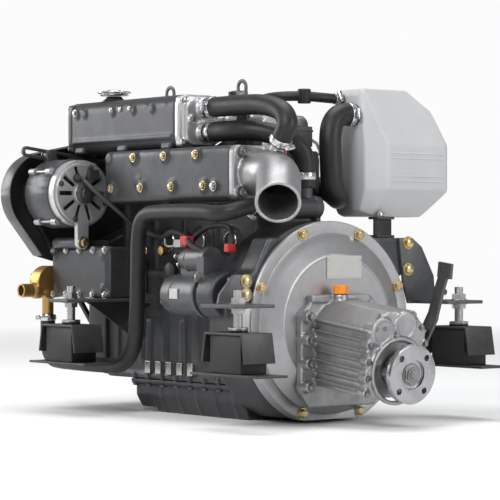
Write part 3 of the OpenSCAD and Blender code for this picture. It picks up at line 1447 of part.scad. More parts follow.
// Foot brackets: two bent plates on the housing's ears and two gusseted arms on the block
foot_aft_x = -foot_aft;
foot_fore_x = foot_aft_x - foot_span;
foot_places = [[foot_aft_x, -foot_out], [foot_aft_x, foot_out], [foot_fore_x, -foot_out], [foot_fore_x, foot_out]];
foot_plate_half = 30;
aft_plate_shares = [[0.25, 0], [0.98, 0], [0.92, 0.42], [0.6, 0.86], [0.35, 1], [0, 1], [0.12, 0.3]];
aft_plate_w = 90;
aft_plate_in = foot_out - aft_plate_w;
port_plate_shares = [[0.25, 0], [0.98, 0], [0.92, 0.4], [0.6, 1], [0.2, 1]];
port_plate_top = 166;
fore_arm_half = 32;
gusset_drop = 66;
gusset_run = 110;
ear_face_x = housing_x + ear_proud;
ear_bolt_in = [3, 12];
ear_bolt_out = [-ear_out + ear_bolt_in[0], ear_out - ear_bolt_in[1]];
ear_bolt_r = 8;
ear_bolt_t = 7;
ear_bolt_z = [[132, 155], [173, 220]];
module foot_brackets() color("darkslategray") for (side = [-1, 1]) scale([1, side, 1]) {
    plate_top = side > 0 ? crank_z + ear_top : port_plate_top;
    translate([ear_face_x, aft_plate_in, bracket_z]) slab_x(bracket_t)
        share_outline(side > 0 ? aft_plate_shares : port_plate_shares, aft_plate_w, plate_top - bracket_z);
    difference() {
        span([ear_face_x, foot_out - 2 * foot_plate_half + bracket_t, bracket_z],
             [foot_aft_x + foot_plate_half, foot_out + foot_plate_half, bracket_z + bracket_t]);
        translate([foot_aft_x, foot_out, bracket_z - over]) cylinder(r = stud_r + seat_gap, h = bracket_t + 2 * over);
    }
    difference() {
        span([foot_fore_x - fore_arm_half, crankcase_half, bracket_z],
             [foot_fore_x + fore_arm_half, foot_out + foot_plate_half, bracket_z + bracket_t]);
        translate([foot_fore_x, foot_out, bracket_z - over]) cylinder(r = stud_r + seat_gap, h = bracket_t + 2 * over);
    }
    span([foot_fore_x - fore_arm_half, crankcase_half, bracket_z - gusset_drop],
         [foot_fore_x + fore_arm_half, crankcase_half + bracket_t, bracket_z]);
    translate([foot_fore_x - bracket_t / 2, crankcase_half, bracket_z]) slab_x(bracket_t)
        polygon([[0, 0], [gusset_run, 0], [bracket_t, -gusset_drop], [0, -gusset_drop]]);
}

// Foot base plates with their two slots
module foot_bases() color("black") for (p = foot_places) translate([p.x, p.y, 0]) difference() {
    translate([-base_len / 2, -base_w / 2, 0]) cube([base_len, base_w, base_t]);
    for (side = [-1, 1]) translate([side * slot_pitch / 2, 0, -over]) linear_extrude(base_t + 2 * over) {
        run = (slot_len - slot_w) / 2;
        for (end = [-1, 1]) translate([end * run, 0]) circle(slot_w / 2);
        square([2 * run, slot_w], center = true);
    }
}

// Foot rubbers: a bonded block under the cover and a collar over it
rubber_half = 42;
rubber_w = 54;
cover_t = 4;
collar_r = 17;
collar_h = 8;
module foot_rubbers() color([0.05, 0.05, 0.05]) for (p = foot_places) translate([p.x, p.y, 0]) {
    translate([-rubber_half, -rubber_w / 2, base_t]) cube([2 * rubber_half, rubber_w, cover_top - cover_t - base_t]);
    translate([0, 0, cover_top]) difference() {
        cylinder(r = collar_r, h = collar_h);
        translate([0, 0, -over]) cylinder(r = stud_r + seat_gap, h = collar_h + 2 * over);
    }
}

// Foot covers: pressed caps, open towards the sides, with legs that flare out
cover_half = 51;
cover_flare = 9;
cover_leg_z = 22;
module foot_covers() color([0.08, 0.08, 0.08]) for (p = foot_places) translate([p.x, p.y - base_w / 2, 0]) difference() {
    slab_y(base_w) difference() {
        polygon([[-cover_half - cover_flare, cover_leg_z], [-cover_half, cover_top], [cover_half, cover_top],
                 [cover_half + cover_flare, cover_leg_z]]);
        polygon([[-cover_half - cover_flare + cover_t, cover_leg_z - over], [-cover_half + cover_t, cover_top - cover_t],
                 [cover_half - cover_t, cover_top - cover_t], [cover_half + cover_flare - cover_t, cover_leg_z - over]]);
    }
    translate([0, base_w / 2, cover_top - cover_t - over]) cylinder(r = stud_r + seat_gap, h = 2 * cover_t);
}

// Foot studs with their nuts, and the bolts of the aft brackets
stud_top = 142;
nut_size_r = 13;
nut_h = 10;
module foot_studs() color("lightgray") {
    for (p = foot_places) translate([p.x, p.y, 0]) {
        translate([0, 0, cover_top - cover_t]) cylinder(r = stud_r, h = stud_top - cover_top + cover_t);
        for (z = [bracket_z - nut_h, bracket_z + bracket_t]) translate([0, 0, z]) cylinder(r = nut_size_r, h = nut_h, $fn = 6);
        translate([0, 0, cover_top + collar_h]) cylinder(r = nut_size_r, h = nut_h / 2);
    }
    for (i = [0, 1], z = ear_bolt_z[i])
        translate([ear_face_x + bracket_t, ear_bolt_out[i], z]) bolt_x(ear_bolt_r, ear_bolt_t);
}

cylinder_block();
cylinder_head();
rocker_cover();
oil_pan();
gear_case();
pump_drive_housing();
pistons();
crankshaft();
crank_pulley();
flywheel();
gearbox_input_shaft();
flywheel_housing();
clutch_bell();
zinc_bolts();
nameplate();
gearbox_case();
gearbox_filler_cap();
output_shaft();
output_coupling();
shift_lever();
exhaust_manifold();
exhaust_elbow();
heat_exchanger();
exchanger_covers();
coolant_cap();
lifting_eyes();
raw_water_pump();
raw_water_hose();
lower_cooler_hose();
upper_cooler_hose();
gear_oil_cooler();
hose_clips();
alternator_body();
alternator_rear_bracket();
alternator_rotor();
alternator_mounting();
belt_guard();
drive_belt();
coolant_pump();
coolant_pump_pulley();
starter_motor();
dipstick_tube();
dipstick();
relay_box();
intake_silencer();
silencer_bracket();
intake_duct();
intake_manifold();
breather_hose();
oil_filler_cap();
injection_pump();
throttle_lever();
stop_lever();
injector_lines();
service_filters();
foot_brackets();
foot_bases();
foot_rubbers();
foot_covers();
foot_studs();
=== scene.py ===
# Four-cylinder marine diesel engine with its reduction gearbox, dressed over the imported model.
# The sections follow the engine as it is put together. Each section works in millimetres, and
# fit() brings a finished piece to metres and to the body that carries it.
import math
import bmesh
import bpy
from mathutils import Matrix, Vector


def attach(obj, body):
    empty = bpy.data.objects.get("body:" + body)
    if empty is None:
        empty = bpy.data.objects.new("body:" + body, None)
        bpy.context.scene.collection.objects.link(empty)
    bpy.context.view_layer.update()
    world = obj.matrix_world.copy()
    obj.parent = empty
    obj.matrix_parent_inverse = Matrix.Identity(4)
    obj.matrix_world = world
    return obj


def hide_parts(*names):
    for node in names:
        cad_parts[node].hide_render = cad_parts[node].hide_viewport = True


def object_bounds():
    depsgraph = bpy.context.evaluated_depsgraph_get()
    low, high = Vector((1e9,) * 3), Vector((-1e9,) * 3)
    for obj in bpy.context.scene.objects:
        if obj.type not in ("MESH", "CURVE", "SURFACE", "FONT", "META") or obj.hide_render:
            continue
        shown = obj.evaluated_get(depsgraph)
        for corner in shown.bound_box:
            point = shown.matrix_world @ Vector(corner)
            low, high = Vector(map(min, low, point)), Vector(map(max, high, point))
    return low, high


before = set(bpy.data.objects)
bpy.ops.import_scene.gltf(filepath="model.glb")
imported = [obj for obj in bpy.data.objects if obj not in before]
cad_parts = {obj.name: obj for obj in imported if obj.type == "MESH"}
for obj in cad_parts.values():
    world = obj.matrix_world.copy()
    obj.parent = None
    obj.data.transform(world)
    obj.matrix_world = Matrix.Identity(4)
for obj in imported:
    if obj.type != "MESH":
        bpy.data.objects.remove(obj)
cad_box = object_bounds()

# The studio: a camera at the photograph's eye point, a pale floor under the oil pan that fades
# into a white backdrop, and three soft panels of light. None of it belongs to the engine.
EYE = (2.8136, -2.5256, 0.2144)
SIGHT = (-0.7902, 0.6129, 0.0)
LENS = 163.4
HORIZON_SHIFT = -0.008
link = bpy.context.scene.collection.objects.link
camera_data = bpy.data.cameras.new("studio_camera")
camera_data.sensor_width = 36
camera_data.lens = LENS
camera_data.shift_y = HORIZON_SHIFT
camera_data.clip_end = 200
camera = bpy.data.objects.new("studio_camera", camera_data)
camera.location = EYE
camera.rotation_euler = Vector(SIGHT).to_track_quat("-Z", "Y").to_euler()
link(camera)
bpy.context.scene.camera = camera
bpy.context.scene.view_settings.view_transform = "Standard"


def add_node(tree, kind, sockets=None, **settings):
    """A shader node whose sockets are linked or set by name or number."""
    made = tree.nodes.new(kind)
    for key, value in settings.items():
        setattr(made, key, value)
    for key, value in (sockets or {}).items():
        if isinstance(value, bpy.types.NodeSocket):
            tree.links.new(value, made.inputs[key])
        else:
            made.inputs[key].default_value = value
    return made


def studio_floor():
    """A wide disc under the pan, pale near the engine and as white as the backdrop far away."""
    form = bmesh.new()
    level = cad_box[0].z - 0.0005
    bmesh.ops.create_circle(form, cap_ends=True, segments=96, radius=60,
                            matrix=Matrix.Translation((0, 0, level)))
    mesh = bpy.data.meshes.new("studio_floor")
    form.to_mesh(mesh)
    form.free()
    floor = bpy.data.objects.new("studio_floor", mesh)
    link(floor)
    material = bpy.data.materials.new("studio_floor")
    material.use_nodes = True
    tree = material.node_tree
    tree.nodes.clear()
    place = add_node(tree, "ShaderNodeTexCoord")
    reach = add_node(tree, "ShaderNodeVectorMath", {0: place.outputs["Object"]}, operation="LENGTH")
    fade = add_node(tree, "ShaderNodeMapRange",
                    {"Value": reach.outputs["Value"], "From Min": 1.2, "From Max": 5.0})
    pale = add_node(tree, "ShaderNodeBsdfDiffuse", {"Color": (0.86, 0.86, 0.86, 1)})
    white = add_node(tree, "ShaderNodeEmission", {"Color": (1, 1, 1, 1), "Strength": 0.97})
    blend = add_node(tree, "ShaderNodeMixShader",
                     {0: fade.outputs[0], 1: pale.outputs[0], 2: white.outputs[0]})
    add_node(tree, "ShaderNodeOutputMaterial", {"Surface": blend.outputs[0]})
    mesh.materials.append(material)


studio_floor()
world = bpy.data.worlds.new("studio")
world.use_nodes = True
world.node_tree.nodes.clear()
seen = add_node(world.node_tree, "ShaderNodeBackground", {"Color": (1, 1, 1, 1), "Strength": 0.97})
felt = add_node(world.node_tree, "ShaderNodeBackground", {"Color": (0.95, 0.97, 1, 1), "Strength": 0.34})
ray = add_node(world.node_tree, "ShaderNodeLightPath")
both = add_node(world.node_tree, "ShaderNodeMixShader",
                {0: ray.outputs["Is Camera Ray"], 1: felt.outputs[0], 2: seen.outputs[0]})
add_node(world.node_tree, "ShaderNodeOutputWorld", {"Surface": both.outputs[0]})
bpy.context.scene.world = world
STUDIO_PANELS = [
    ("key_panel", (0.9, -2.9, 2.3), 1.5, 84),
    ("top_panel", (-0.7, 0.2, 2.9), 2.2, 60),
    ("side_panel", (2.9, 1.1, 1.3), 1.4, 40),
    ("bow_panel", (-3.0, -1.4, 1.1), 1.4, 34),
]
for title, place, size, power in STUDIO_PANELS:
    light = bpy.data.lights.new(title, "AREA")
    light.size = size
    light.energy = power
    panel = bpy.data.objects.new(title, light)
    panel.location = place
    aim = Vector((-0.42, 0, 0.2)) - Vector(place)
    panel.rotation_euler = aim.to_track_quat("-Z", "Y").to_euler()
    link(panel)

# Cylinder block: one grey iron casting, sprayed dark grey, with ribs, machined bosses and the
# long oil gallery on its port side. The whole casting is remeshed so that its forms run
# together with the small fillets of a sand mould.
MM = 0.001
# directions on the engine, as from the helm looking forward
AFT = Vector((1, 0, 0))
FORE = Vector((-1, 0, 0))
PORT = Vector((0, -1, 0))
STARBOARD = Vector((0, 1, 0))
UP = Vector((0, 0, 1))
DOWN = Vector((0, 0, -1))


def cad_form(node):
    """A merged copy of a CAD node in millimetres, its flat faces joined up."""
    form = bmesh.new()
    form.from_mesh(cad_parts[node].data)
    bmesh.ops.scale(form, vec=(1 / MM, 1 / MM, 1 / MM), verts=form.verts)
    bmesh.ops.remove_doubles(form, verts=form.verts, dist=0.02)
    bmesh.ops.dissolve_limit(form, angle_limit=math.radians(0.6), verts=form.verts, edges=form.edges)
    return form


def slab(form, low, high):
    """A block between two corners."""
    low, high = Vector(low), Vector(high)
    size = high - low
    place = Matrix.Translation((low + high) / 2) @ Matrix.Diagonal((size.x, size.y, size.z, 1))
    bmesh.ops.create_cube(form, size=1, matrix=place)


def bar(form, start, run, radius, tip=None, sides=32):
    """A round or many-sided bar from a point along a run, tapered where a tip radius is given."""
    start, run = Vector(start), Vector(run)
    turn = run.to_track_quat("Z", "Y").to_matrix().to_4x4()
    bmesh.ops.create_cone(
        form, cap_ends=True, cap_tris=False, segments=sides, radius1=radius,
        radius2=radius if tip is None else tip, depth=run.length,
        matrix=Matrix.Translation(start + run / 2) @ turn,
    )


def grow_mesh(form, name):
    """The form as a smooth-shaded mesh object at the origin, in metres."""
    bmesh.ops.scale(form, vec=(MM, MM, MM), verts=form.verts)
    mesh = bpy.data.meshes.new(name)
    form.to_mesh(mesh)
    form.free()
    mesh.shade_smooth()
    piece = bpy.data.objects.new(name, mesh)
    link(piece)
    return piece


def bake_shape(piece):
    """Keeps the shape that the piece's modifiers make, and drops the modifiers."""
    graph = bpy.context.evaluated_depsgraph_get()
    mesh = bpy.data.meshes.new_from_object(piece.evaluated_get(graph))
    piece.modifiers.clear()
    piece.data = mesh


def fit(form, name, material, nodes=(), body="engine", slot=None, edge=0.0, steps=2, cast=0.0, settle=4,
        crease=35):
    """Finishes a piece: rounds its edges or remeshes it as a casting, then hangs it on its body."""
    piece = grow_mesh(form, name)
    if cast:
        skin = piece.modifiers.new("skin", "REMESH")
        skin.mode = "VOXEL"
        skin.voxel_size = cast * MM
        skin.use_smooth_shade = True
        soften = piece.modifiers.new("soften", "SMOOTH")
        soften.factor = 0.5
        soften.iterations = settle
        bake_shape(piece)
    elif edge:
        rounding = piece.modifiers.new("rounding", "BEVEL")
        rounding.width = edge * MM
        rounding.segments = steps
        rounding.limit_method = "ANGLE"
        rounding.angle_limit = math.radians(crease)
        rounding.harden_normals = True
        bake_shape(piece)
    else:
        piece.data.set_sharp_from_angle(angle=math.radians(crease))
    piece.data.materials.clear()
    piece.data.materials.append(material)
    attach(piece, body)
    slot = slot or SLOT_OF[material.name]
    if nodes:
        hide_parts(*nodes)
    return piece


def effect_group(name, inputs, outputs):
    """An empty shader group with its two ends, its sockets given as (name, kind)."""
    group = bpy.data.node_groups.new(name, "ShaderNodeTree")
    for way, sockets in (("INPUT", inputs), ("OUTPUT", outputs)):
        for title, kind in sockets:
            group.interface.new_socket(title, in_out=way, socket_type="NodeSocket" + kind)
    return group, group.nodes.new("NodeGroupInput"), group.nodes.new("NodeGroupOutput")


def skin_group():
    """Shared effect: the fine grain of a sprayed or cast skin, and its slow mottle."""
    group, start, end = effect_group("cast skin", [("Vector", "Vector"), ("Scale", "Float")],
                                     [("Height", "Float"), ("Mottle", "Float")])
    fine = add_node(group, "ShaderNodeTexNoise",
                    {"Vector": start.outputs["Vector"], "Scale": start.outputs["Scale"], "Detail": 3.0,
                     "Roughness": 0.6})
    coarse = add_node(group, "ShaderNodeMath", {0: start.outputs["Scale"], 1: 0.06}, operation="MULTIPLY")
    slow = add_node(group, "ShaderNodeTexNoise",
                    {"Vector": start.outputs["Vector"], "Scale": coarse.outputs[0], "Detail": 4.0,
                     "Roughness": 0.65})
    mottle = add_node(group, "ShaderNodeMapRange",
                      {"Value": slow.outputs[0], "From Min": 0.32, "From Max": 0.68})
    group.links.new(fine.outputs[0], end.inputs["Height"])
    group.links.new(mottle.outputs[0], end.inputs["Mottle"])
    return group


def edge_group():
    """Shared effect: a mask on sharp outer edges, broken up as handling wears them."""
    group, start, end = effect_group("worn edge", [("Vector", "Vector"), ("Amount", "Float")],
                                     [("Mask", "Float")])
    shape = group.nodes.new("ShaderNodeNewGeometry")
    ridge = add_node(group, "ShaderNodeMapRange",
                     {"Value": shape.outputs["Pointiness"], "From Min": 0.51, "From Max": 0.6})
    patch = add_node(group, "ShaderNodeTexNoise",
                     {"Vector": start.outputs["Vector"], "Scale": 60.0, "Detail": 5.0})
    broken = add_node(group, "ShaderNodeMath", {0: ridge.outputs[0], 1: patch.outputs[0]},
                      operation="MULTIPLY")
    part = add_node(group, "ShaderNodeMath", {0: broken.outputs[0], 1: start.outputs["Amount"]},
                    operation="MULTIPLY", use_clamp=True)
    group.links.new(part.outputs[0], end.inputs["Mask"])
    return group


SLOT_OF = {}
SKIN = skin_group()
WORN = edge_group()


def mix_colour(tree, factor, first, second):
    """The colour between two others."""
    return add_node(tree, "ShaderNodeMix", {0: factor, 6: first, 7: second}, data_type="RGBA").outputs[2]


def surface(name, slot, colour, shade, metallic, roughness, spread, grain=420.0, relief=0.3, depth=0.0003,
            bare=None, wear=0.0, specular=0.5):
    """A material with mottled colour and gloss, a grain in relief, and bare edges where asked."""
    material = bpy.data.materials.new(name)
    SLOT_OF[material.name] = slot
    material.use_nodes = True
    tree = material.node_tree
    shader = tree.nodes["Principled BSDF"]
    place = add_node(tree, "ShaderNodeTexCoord").outputs["Object"]
    skin = add_node(tree, "ShaderNodeGroup", node_tree=SKIN)
    tree.links.new(place, skin.inputs["Vector"])
    skin.inputs["Scale"].default_value = grain
    tone = mix_colour(tree, skin.outputs["Mottle"], (*colour, 1), (*shade, 1))
    if bare:
        worn = add_node(tree, "ShaderNodeGroup", node_tree=WORN)
        tree.links.new(place, worn.inputs["Vector"])
        worn.inputs["Amount"].default_value = wear
        tone = mix_colour(tree, worn.outputs["Mask"], tone, (*bare, 1))
    gloss = add_node(tree, "ShaderNodeMapRange",
                     {"Value": skin.outputs["Mottle"], "To Min": roughness - spread,
                      "To Max": roughness + spread})
    bump = add_node(tree, "ShaderNodeBump",
                    {"Height": skin.outputs["Height"], "Strength": relief, "Distance": depth})
    tree.links.new(tone, shader.inputs["Base Color"])
    tree.links.new(gloss.outputs[0], shader.inputs["Roughness"])
    tree.links.new(bump.outputs[0], shader.inputs["Normal"])
    shader.inputs["Metallic"].default_value = metallic
    shader.inputs["Specular IOR Level"].default_value = specular
    return material


casting_grey = surface("casting_grey", "cast_grey", (0.06, 0.0615, 0.065), (0.044, 0.0455, 0.048), 0.48, 0.4,
                       0.06, 380, 0.35, 0.0004, (0.2, 0.2, 0.21), 0.9)

BLOCK_FORE = -742
BLOCK_AFT = -334
BLOCK_FACE = 105
BANK_FACE = 75
CYLINDERS = [-396.5 - 94 * i for i in range(4)]
GALLERY_INSET = 4
UPRIGHT_RIBS = (-708, -632, -560, -470, -352)
BLOCK_BOSSES = (-722, -545, -444, -350)
BOSS_HEIGHT = 146
PLUG_HEIGHT = 222
# each long rib: the face that carries it, how far it stands proud, its lower and its upper edge
LONG_RIBS = ((BLOCK_FACE, 4, -31, -21), (BLOCK_FACE, 3, 158, 168), (BANK_FACE, 5, 292, 304))
block = cad_form("cylinder_block")
for side in (-1, 1):
    slab(block, (BLOCK_FORE + GALLERY_INSET, side * BLOCK_FACE - 5, 92),
         (BLOCK_AFT - GALLERY_INSET, side * BLOCK_FACE + 5, 104))
    for face, proud, low, high in LONG_RIBS:
        slab(block, (BLOCK_FORE, side * face - proud, low), (BLOCK_AFT, side * face + proud, high))
    for x in UPRIGHT_RIBS:
        slab(block, (x - 4, side * BLOCK_FACE - 6, 0), (x + 4, side * BLOCK_FACE + 6, 160))
    for x in BLOCK_BOSSES:
        bar(block, (x, side * (BLOCK_FACE - 8), BOSS_HEIGHT), (0, side * 16, 0), 13)
    for x in CYLINDERS:
        bar(block, (x, side * (BANK_FACE - 8), PLUG_HEIGHT), (0, side * 12, 0), 24)
        slab(block, (x - 51, side * BANK_FACE - 4, 170), (x - 43, side * BANK_FACE + 4, 300))
fit(block, "block_casting", casting_grey, ["cylinder_block"], cast=3.6)

# Core plugs: pressed steel cups, driven into the water jacket along both sides of the block.
zinc_bright = surface("zinc_bright", "bright_steel", (0.56, 0.55, 0.52), (0.4, 0.4, 0.39), 1.0, 0.3, 0.08,
                      500, 0.1)


def join_form(form, part):
    """Adds one form to another, and clears the first."""
    mesh = bpy.data.meshes.new("part")
    part.to_mesh(mesh)
    part.free()
    form.from_mesh(mesh)
    bpy.data.meshes.remove(mesh)


def turned(form, profile, origin, axis, sides=48, closed=False):
    """A lathe-turned form: (along, radius) points spun once round an axis."""
    axis = Vector(axis).normalized()
    spare = UP if abs(axis.z) < 0.9 else AFT
    out = axis.cross(spare).normalized()
    start = Vector(origin)
    part = bmesh.new()
    points = [part.verts.new(start + axis * along + out * radius) for along, radius in profile]
    edges = [part.edges.new(pair) for pair in zip(points, points[1:])]
    if closed:
        edges.append(part.edges.new((points[-1], points[0])))
    bmesh.ops.spin(part, geom=points + edges, cent=start, axis=axis, angle=math.tau, steps=sides,
                   use_merge=True)
    bmesh.ops.remove_doubles(part, verts=part.verts, dist=0.001)
    bmesh.ops.recalc_face_normals(part, faces=part.faces)
    join_form(form, part)


plugs = bmesh.new()
for side in (-1, 1):
    for x in CYLINDERS:
        turned(plugs, [(0, 19), (4, 19), (5, 18), (5, 16.5), (1.5, 15.5), (1.2, 0)],
               (x, side * (BANK_FACE + 2), PLUG_HEIGHT), (0, side, 0), 40)
fit(plugs, "core_plugs", zinc_bright, crease=40)

# Oil pan: deep-drawn sheet steel, painted, bolted up under the block through its rail.


def dress(node, name, material, **finish):
    """A CAD node that gets no new forms, only its edges and its finish."""
    return fit(cad_form(node), name, material, [node], **finish)


dress("oil_pan", "oil_pan_pressing", casting_grey, cast=2.6, settle=9)


def bolt(form, seat, out, size, head=None):
    """A hexagon head with a chamfered crown on a washer."""
    seat, out = Vector(seat), Vector(out).normalized()
    head = head or 0.75 * size
    bar(form, seat, 0.3 * head * out, size * 1.3, sides=24)
    bar(form, seat + 0.2 * head * out, 0.8 * head * out, size, sides=6)
    bar(form, seat + 0.98 * head * out, 0.17 * head * out, size * 0.86, size * 0.66, 24)


def bolt_set(name, material, places, nodes=(), edge=0.4, steps=1, body="engine"):
    """One piece made of bolts, each given as its seat, its direction, its size and its head."""
    form = bmesh.new()
    for place in places:
        bolt(form, *place)
    return fit(form, name, material, nodes, body, edge=edge, steps=steps)


DRAIN_PLUG = ((-664.2, 0, -61), FORE, 11, 9)
PAN_BOLTS = [-350 - 43 * i for i in range(8)]
pan_bolts = [DRAIN_PLUG]
for side in (-1, 1):
    pan_bolts += [((x, side * 107, -39.2), DOWN, 5.5) for x in PAN_BOLTS]
    pan_bolts += [((x, side * 109, -26), (0, side, 0), 5) for x in PAN_BOLTS]
bolt_set("pan_bolts", casting_grey, pan_bolts)

# Painted highlights along the lower rail: short bare bright blocks that show as a row of pale marks of
# light.
LIGHT_MARK_LEN = 16
LIGHT_MARK_PITCH = 33
light_mark_blocks = bmesh.new()
for i in range(5):
    fore = -616 + LIGHT_MARK_PITCH * i
    slab(light_mark_blocks, (fore, -112, -20), (fore + LIGHT_MARK_LEN, -104, 3))
fit(light_mark_blocks, "rail_painted_light_marks", zinc_bright, edge=1.2)

# Gear case and pump drive housing: two castings bolted to the fore end, with covers held by
# small flange bolts round their rims.
case = cad_form("gear_case")
for y in (-98, 120):
    slab(case, (-806, y, 8), (-796, y + 8, 200))
fit(case, "gear_case_casting", casting_grey, ["gear_case"], cast=3.2)

DRIVE_FACE = -176
DRIVE_BOLTS = [(x, z) for x in (-820, -775, -730, -685, -645) for z in (124, 207)]
drive = cad_form("pump_drive_housing")
for low in (121, 202):
    slab(drive, (-826, DRIVE_FACE - 3, low), (-640, DRIVE_FACE + 6, low + 8))
for x, z in DRIVE_BOLTS:
    bar(drive, (x, DRIVE_FACE + 10, z), 15 * PORT, 8)
fit(drive, "pump_drive_casting", casting_grey, ["pump_drive_housing"], cast=2.4)

CASE_FACE = -805
CASE_BOLTS = ((-92, 20), (-92, 90), (-92, 190), (124, 20), (130, 110), (130, 180), (40, 370), (-30, 380))
case_bolts = [((x, DRIVE_FACE - 4.8, z), PORT, 5.5) for x, z in DRIVE_BOLTS]
case_bolts += [((CASE_FACE, y, z), FORE, 6) for y, z in CASE_BOLTS]
bolt_set("case_bolts", zinc_bright, case_bolts)

# Cylinder head and rocker cover: the head is iron, its lid is cast aluminium with a rolled
# shoulder, a flange and a row of short studs.
head = cad_form("cylinder_head")
for x in CYLINDERS:
    bar(head, (x, 70, 345), 9 * STARBOARD, 16)
    bar(head, (x - 47, -70, 372), 9 * PORT, 8)
slab(head, (-733, -78, 306), (-343, 78, 314))
fit(head, "cylinder_head_casting", casting_grey, ["cylinder_head"], cast=3.2)

cast_silver = surface("cast_silver", "bright_alloy", (0.4, 0.4, 0.405), (0.3, 0.3, 0.305), 0.85, 0.4, 0.06,
                      420, 0.45, 0.0005, (0.7, 0.7, 0.7), 0.6)
rocker = cad_form("rocker_cover")
for x in (-672, -600, -528, -456, -384):
    slab(rocker, (x - 3, -50, 441), (x + 3, 50, 449.5))
for x in (-690, -570, -490, -360):
    for side in (-1, 1):
        bar(rocker, (x, side * 46, 385), 15 * UP, 9)
fit(rocker, "rocker_cover_casting", cast_silver, ["rocker_cover"], cast=2.4)
rocker_nuts = bmesh.new()
for x in (-630, -444):
    turned(rocker_nuts, [(0, 9), (2, 9.5), (3, 8), (3, 0)], (x, 0, 448.5), UP, 32)
    bar(rocker_nuts, (x, 0, 450), 8 * UP, 6, sides=6)
fit(rocker_nuts, "rocker_cover_nuts", zinc_bright, edge=0.4, steps=1)

# Oil filler cap: a moulded black knob with finger flutes on its stem.
black_plastic = surface("black_plastic", "black_plastic", (0.014, 0.014, 0.015), (0.022, 0.022, 0.023), 0.0,
                        0.42, 0.06, 700, 0.2)


def around(count, radius, middle=(0, 0), shift=0.0):
    """Points evenly spaced on a circle, as pairs of the sine and the cosine side."""
    turns = [math.tau * (k + shift) / count for k in range(count)]
    return [(middle[0] + radius * math.sin(turn), middle[1] + radius * math.cos(turn)) for turn in turns]


KNOB = (-478, 0, 448)
knob = bmesh.new()
turned(knob, [(0.3, 0), (0.3, 13), (3, 13), (4, 11), (38, 11), (38.5, 0)], KNOB, UP, 40)
turned(knob, [(37.5, 0), (37.5, 15), (39, 16.5), (46, 16.5), (49, 14), (50, 9), (50, 0)], KNOB, UP, 48)
for y, x in around(8, 15.5, (0, KNOB[0])):
    bar(knob, (x, y, 486), 10.5 * UP, 2.5, sides=12)
fit(knob, "oil_filler_knob", black_plastic, ["oil_filler_cap"], body="oil_cap", edge=0.5)

# Flywheel housing: the large dark casting behind the bell, with an ear for each foot bracket
# and the boss that takes the starter.
CRANK_Z = 80
HOUSING_RIM = 168
housing = cad_form("flywheel_housing")
for k, (y, z) in enumerate(around(12, HOUSING_RIM, (0, CRANK_Z), 0.5)):
    if z > -60 and k not in (5, 6, 7):
        slab(housing, (-326, y - 5, z - 5), (-242, y + 5, z + 5))
fit(housing, "flywheel_housing_casting", casting_grey, ["flywheel_housing"], cast=3.2)

# Clutch bell: a turned and painted aluminium casting: bolted ring, sloping shoulder and a flat
# face that carries the gearbox. Its foot is cut flat above the keel.
bell_silver = surface("bell_silver", "bright_alloy", (0.42, 0.42, 0.425), (0.36, 0.36, 0.365), 0.8, 0.4,
                      0.04, 520, 0.25, 0.0003, (0.7, 0.7, 0.7), 0.4)
bell = bmesh.new()
turned(bell, [(0, 178), (23, 178), (25, 176), (25, 160), (24, 157.5), (24.5, 156), (28, 151), (34.5, 139),
              (40.5, 126), (43, 121.5), (43.8, 119.5), (43.8, 117), (43, 116), (43, 31), (42, 30), (35, 30),
              (35, 108), (24, 140), (12, 142), (0, 142)], (-238, 0, CRANK_Z), AFT, 144, closed=True)
BELL_FOOT = (0, 0, CRANK_Z - 166)
cut = bmesh.ops.bisect_plane(bell, geom=bell.verts[:] + bell.edges[:] + bell.faces[:], plane_co=BELL_FOOT,
                             plane_no=DOWN, clear_outer=True)
bmesh.ops.holes_fill(bell, edges=[e for e in cut["geom_cut"] if isinstance(e, bmesh.types.BMEdge)], sides=0)
fit(bell, "clutch_bell_casting", bell_silver, ["clutch_bell"], crease=28)

# Zinc bolts: yellow passivated flange bolts round the bell and on the manifold's covers.
zinc_yellow = surface("zinc_yellow", "zinc_gold", (0.62, 0.47, 0.2), (0.55, 0.5, 0.36), 1.0, 0.28, 0.08, 60,
                      0.05)
BELL_BOLT_CIRCLE = 166.7
BELL_FACE = -213
MANIFOLD_FACE = -168
MANIFOLD_FORE = -667
MANIFOLD_LEN = 380
MANIFOLD_LOW = 293
MANIFOLD_HIGH = 95
MANIFOLD_SHARES = ((0.06, 0.28), (0.31, 0.28), (0.56, 0.28), (0.81, 0.28), (0.25, 0.86), (0.5, 0.86),
                   (0.75, 0.86))
MANIFOLD_BOLTS = [(MANIFOLD_FORE + MANIFOLD_LEN * along, MANIFOLD_LOW + MANIFOLD_HIGH * up)
                  for along, up in MANIFOLD_SHARES]
zinc = [((BELL_FACE, y, z), AFT, 8.2, 7) for y, z in around(8, BELL_BOLT_CIRCLE, (0, CRANK_Z), 0.5)]
zinc += [((x, MANIFOLD_FACE, z), PORT, 6.4, 5.2) for x, z in MANIFOLD_BOLTS]
bolt_set("zinc_flange_bolts", zinc_yellow, zinc, ["zinc_bolts"], edge=0.5, steps=2)

# Type plate: a bare etched aluminium plate on two drive pins, left without lettering.
plate_face = surface("plate_face", "plate_alloy", (0.6, 0.6, 0.58), (0.5, 0.5, 0.48), 0.7, 0.35, 0.08, 240,
                     0.1)
plate = bmesh.new()
slab(plate, (-195, -25, 158), (-193.4, 53, 198))
slab(plate, (-193.6, -22, 161), (-193, 50, 181))
fit(plate, "bare_type_plate", plate_face, ["nameplate"], edge=0.5)
pins = bmesh.new()
for y in (-21, 49):
    turned(pins, [(0, 0), (0, 2.4), (0.6, 2.2), (1.1, 1.2), (1.2, 0)], (-193.8, y, 190), AFT, 24)
fit(pins, "plate_drive_pins", zinc_bright)

# Gearbox: a thin-walled aluminium casting with level cooling fins, a column of bolted lugs on
# each side, a stepped rear flange and the raised caps of its two bearings.
SHAFT_SLOPE = 7
TILT = Matrix.Rotation(math.radians(SHAFT_SLOPE), 4, "Y")


def along_shaft(point):
    """A point given along the sloping output shaft, in the engine's own frame."""
    return TILT @ Vector(point)


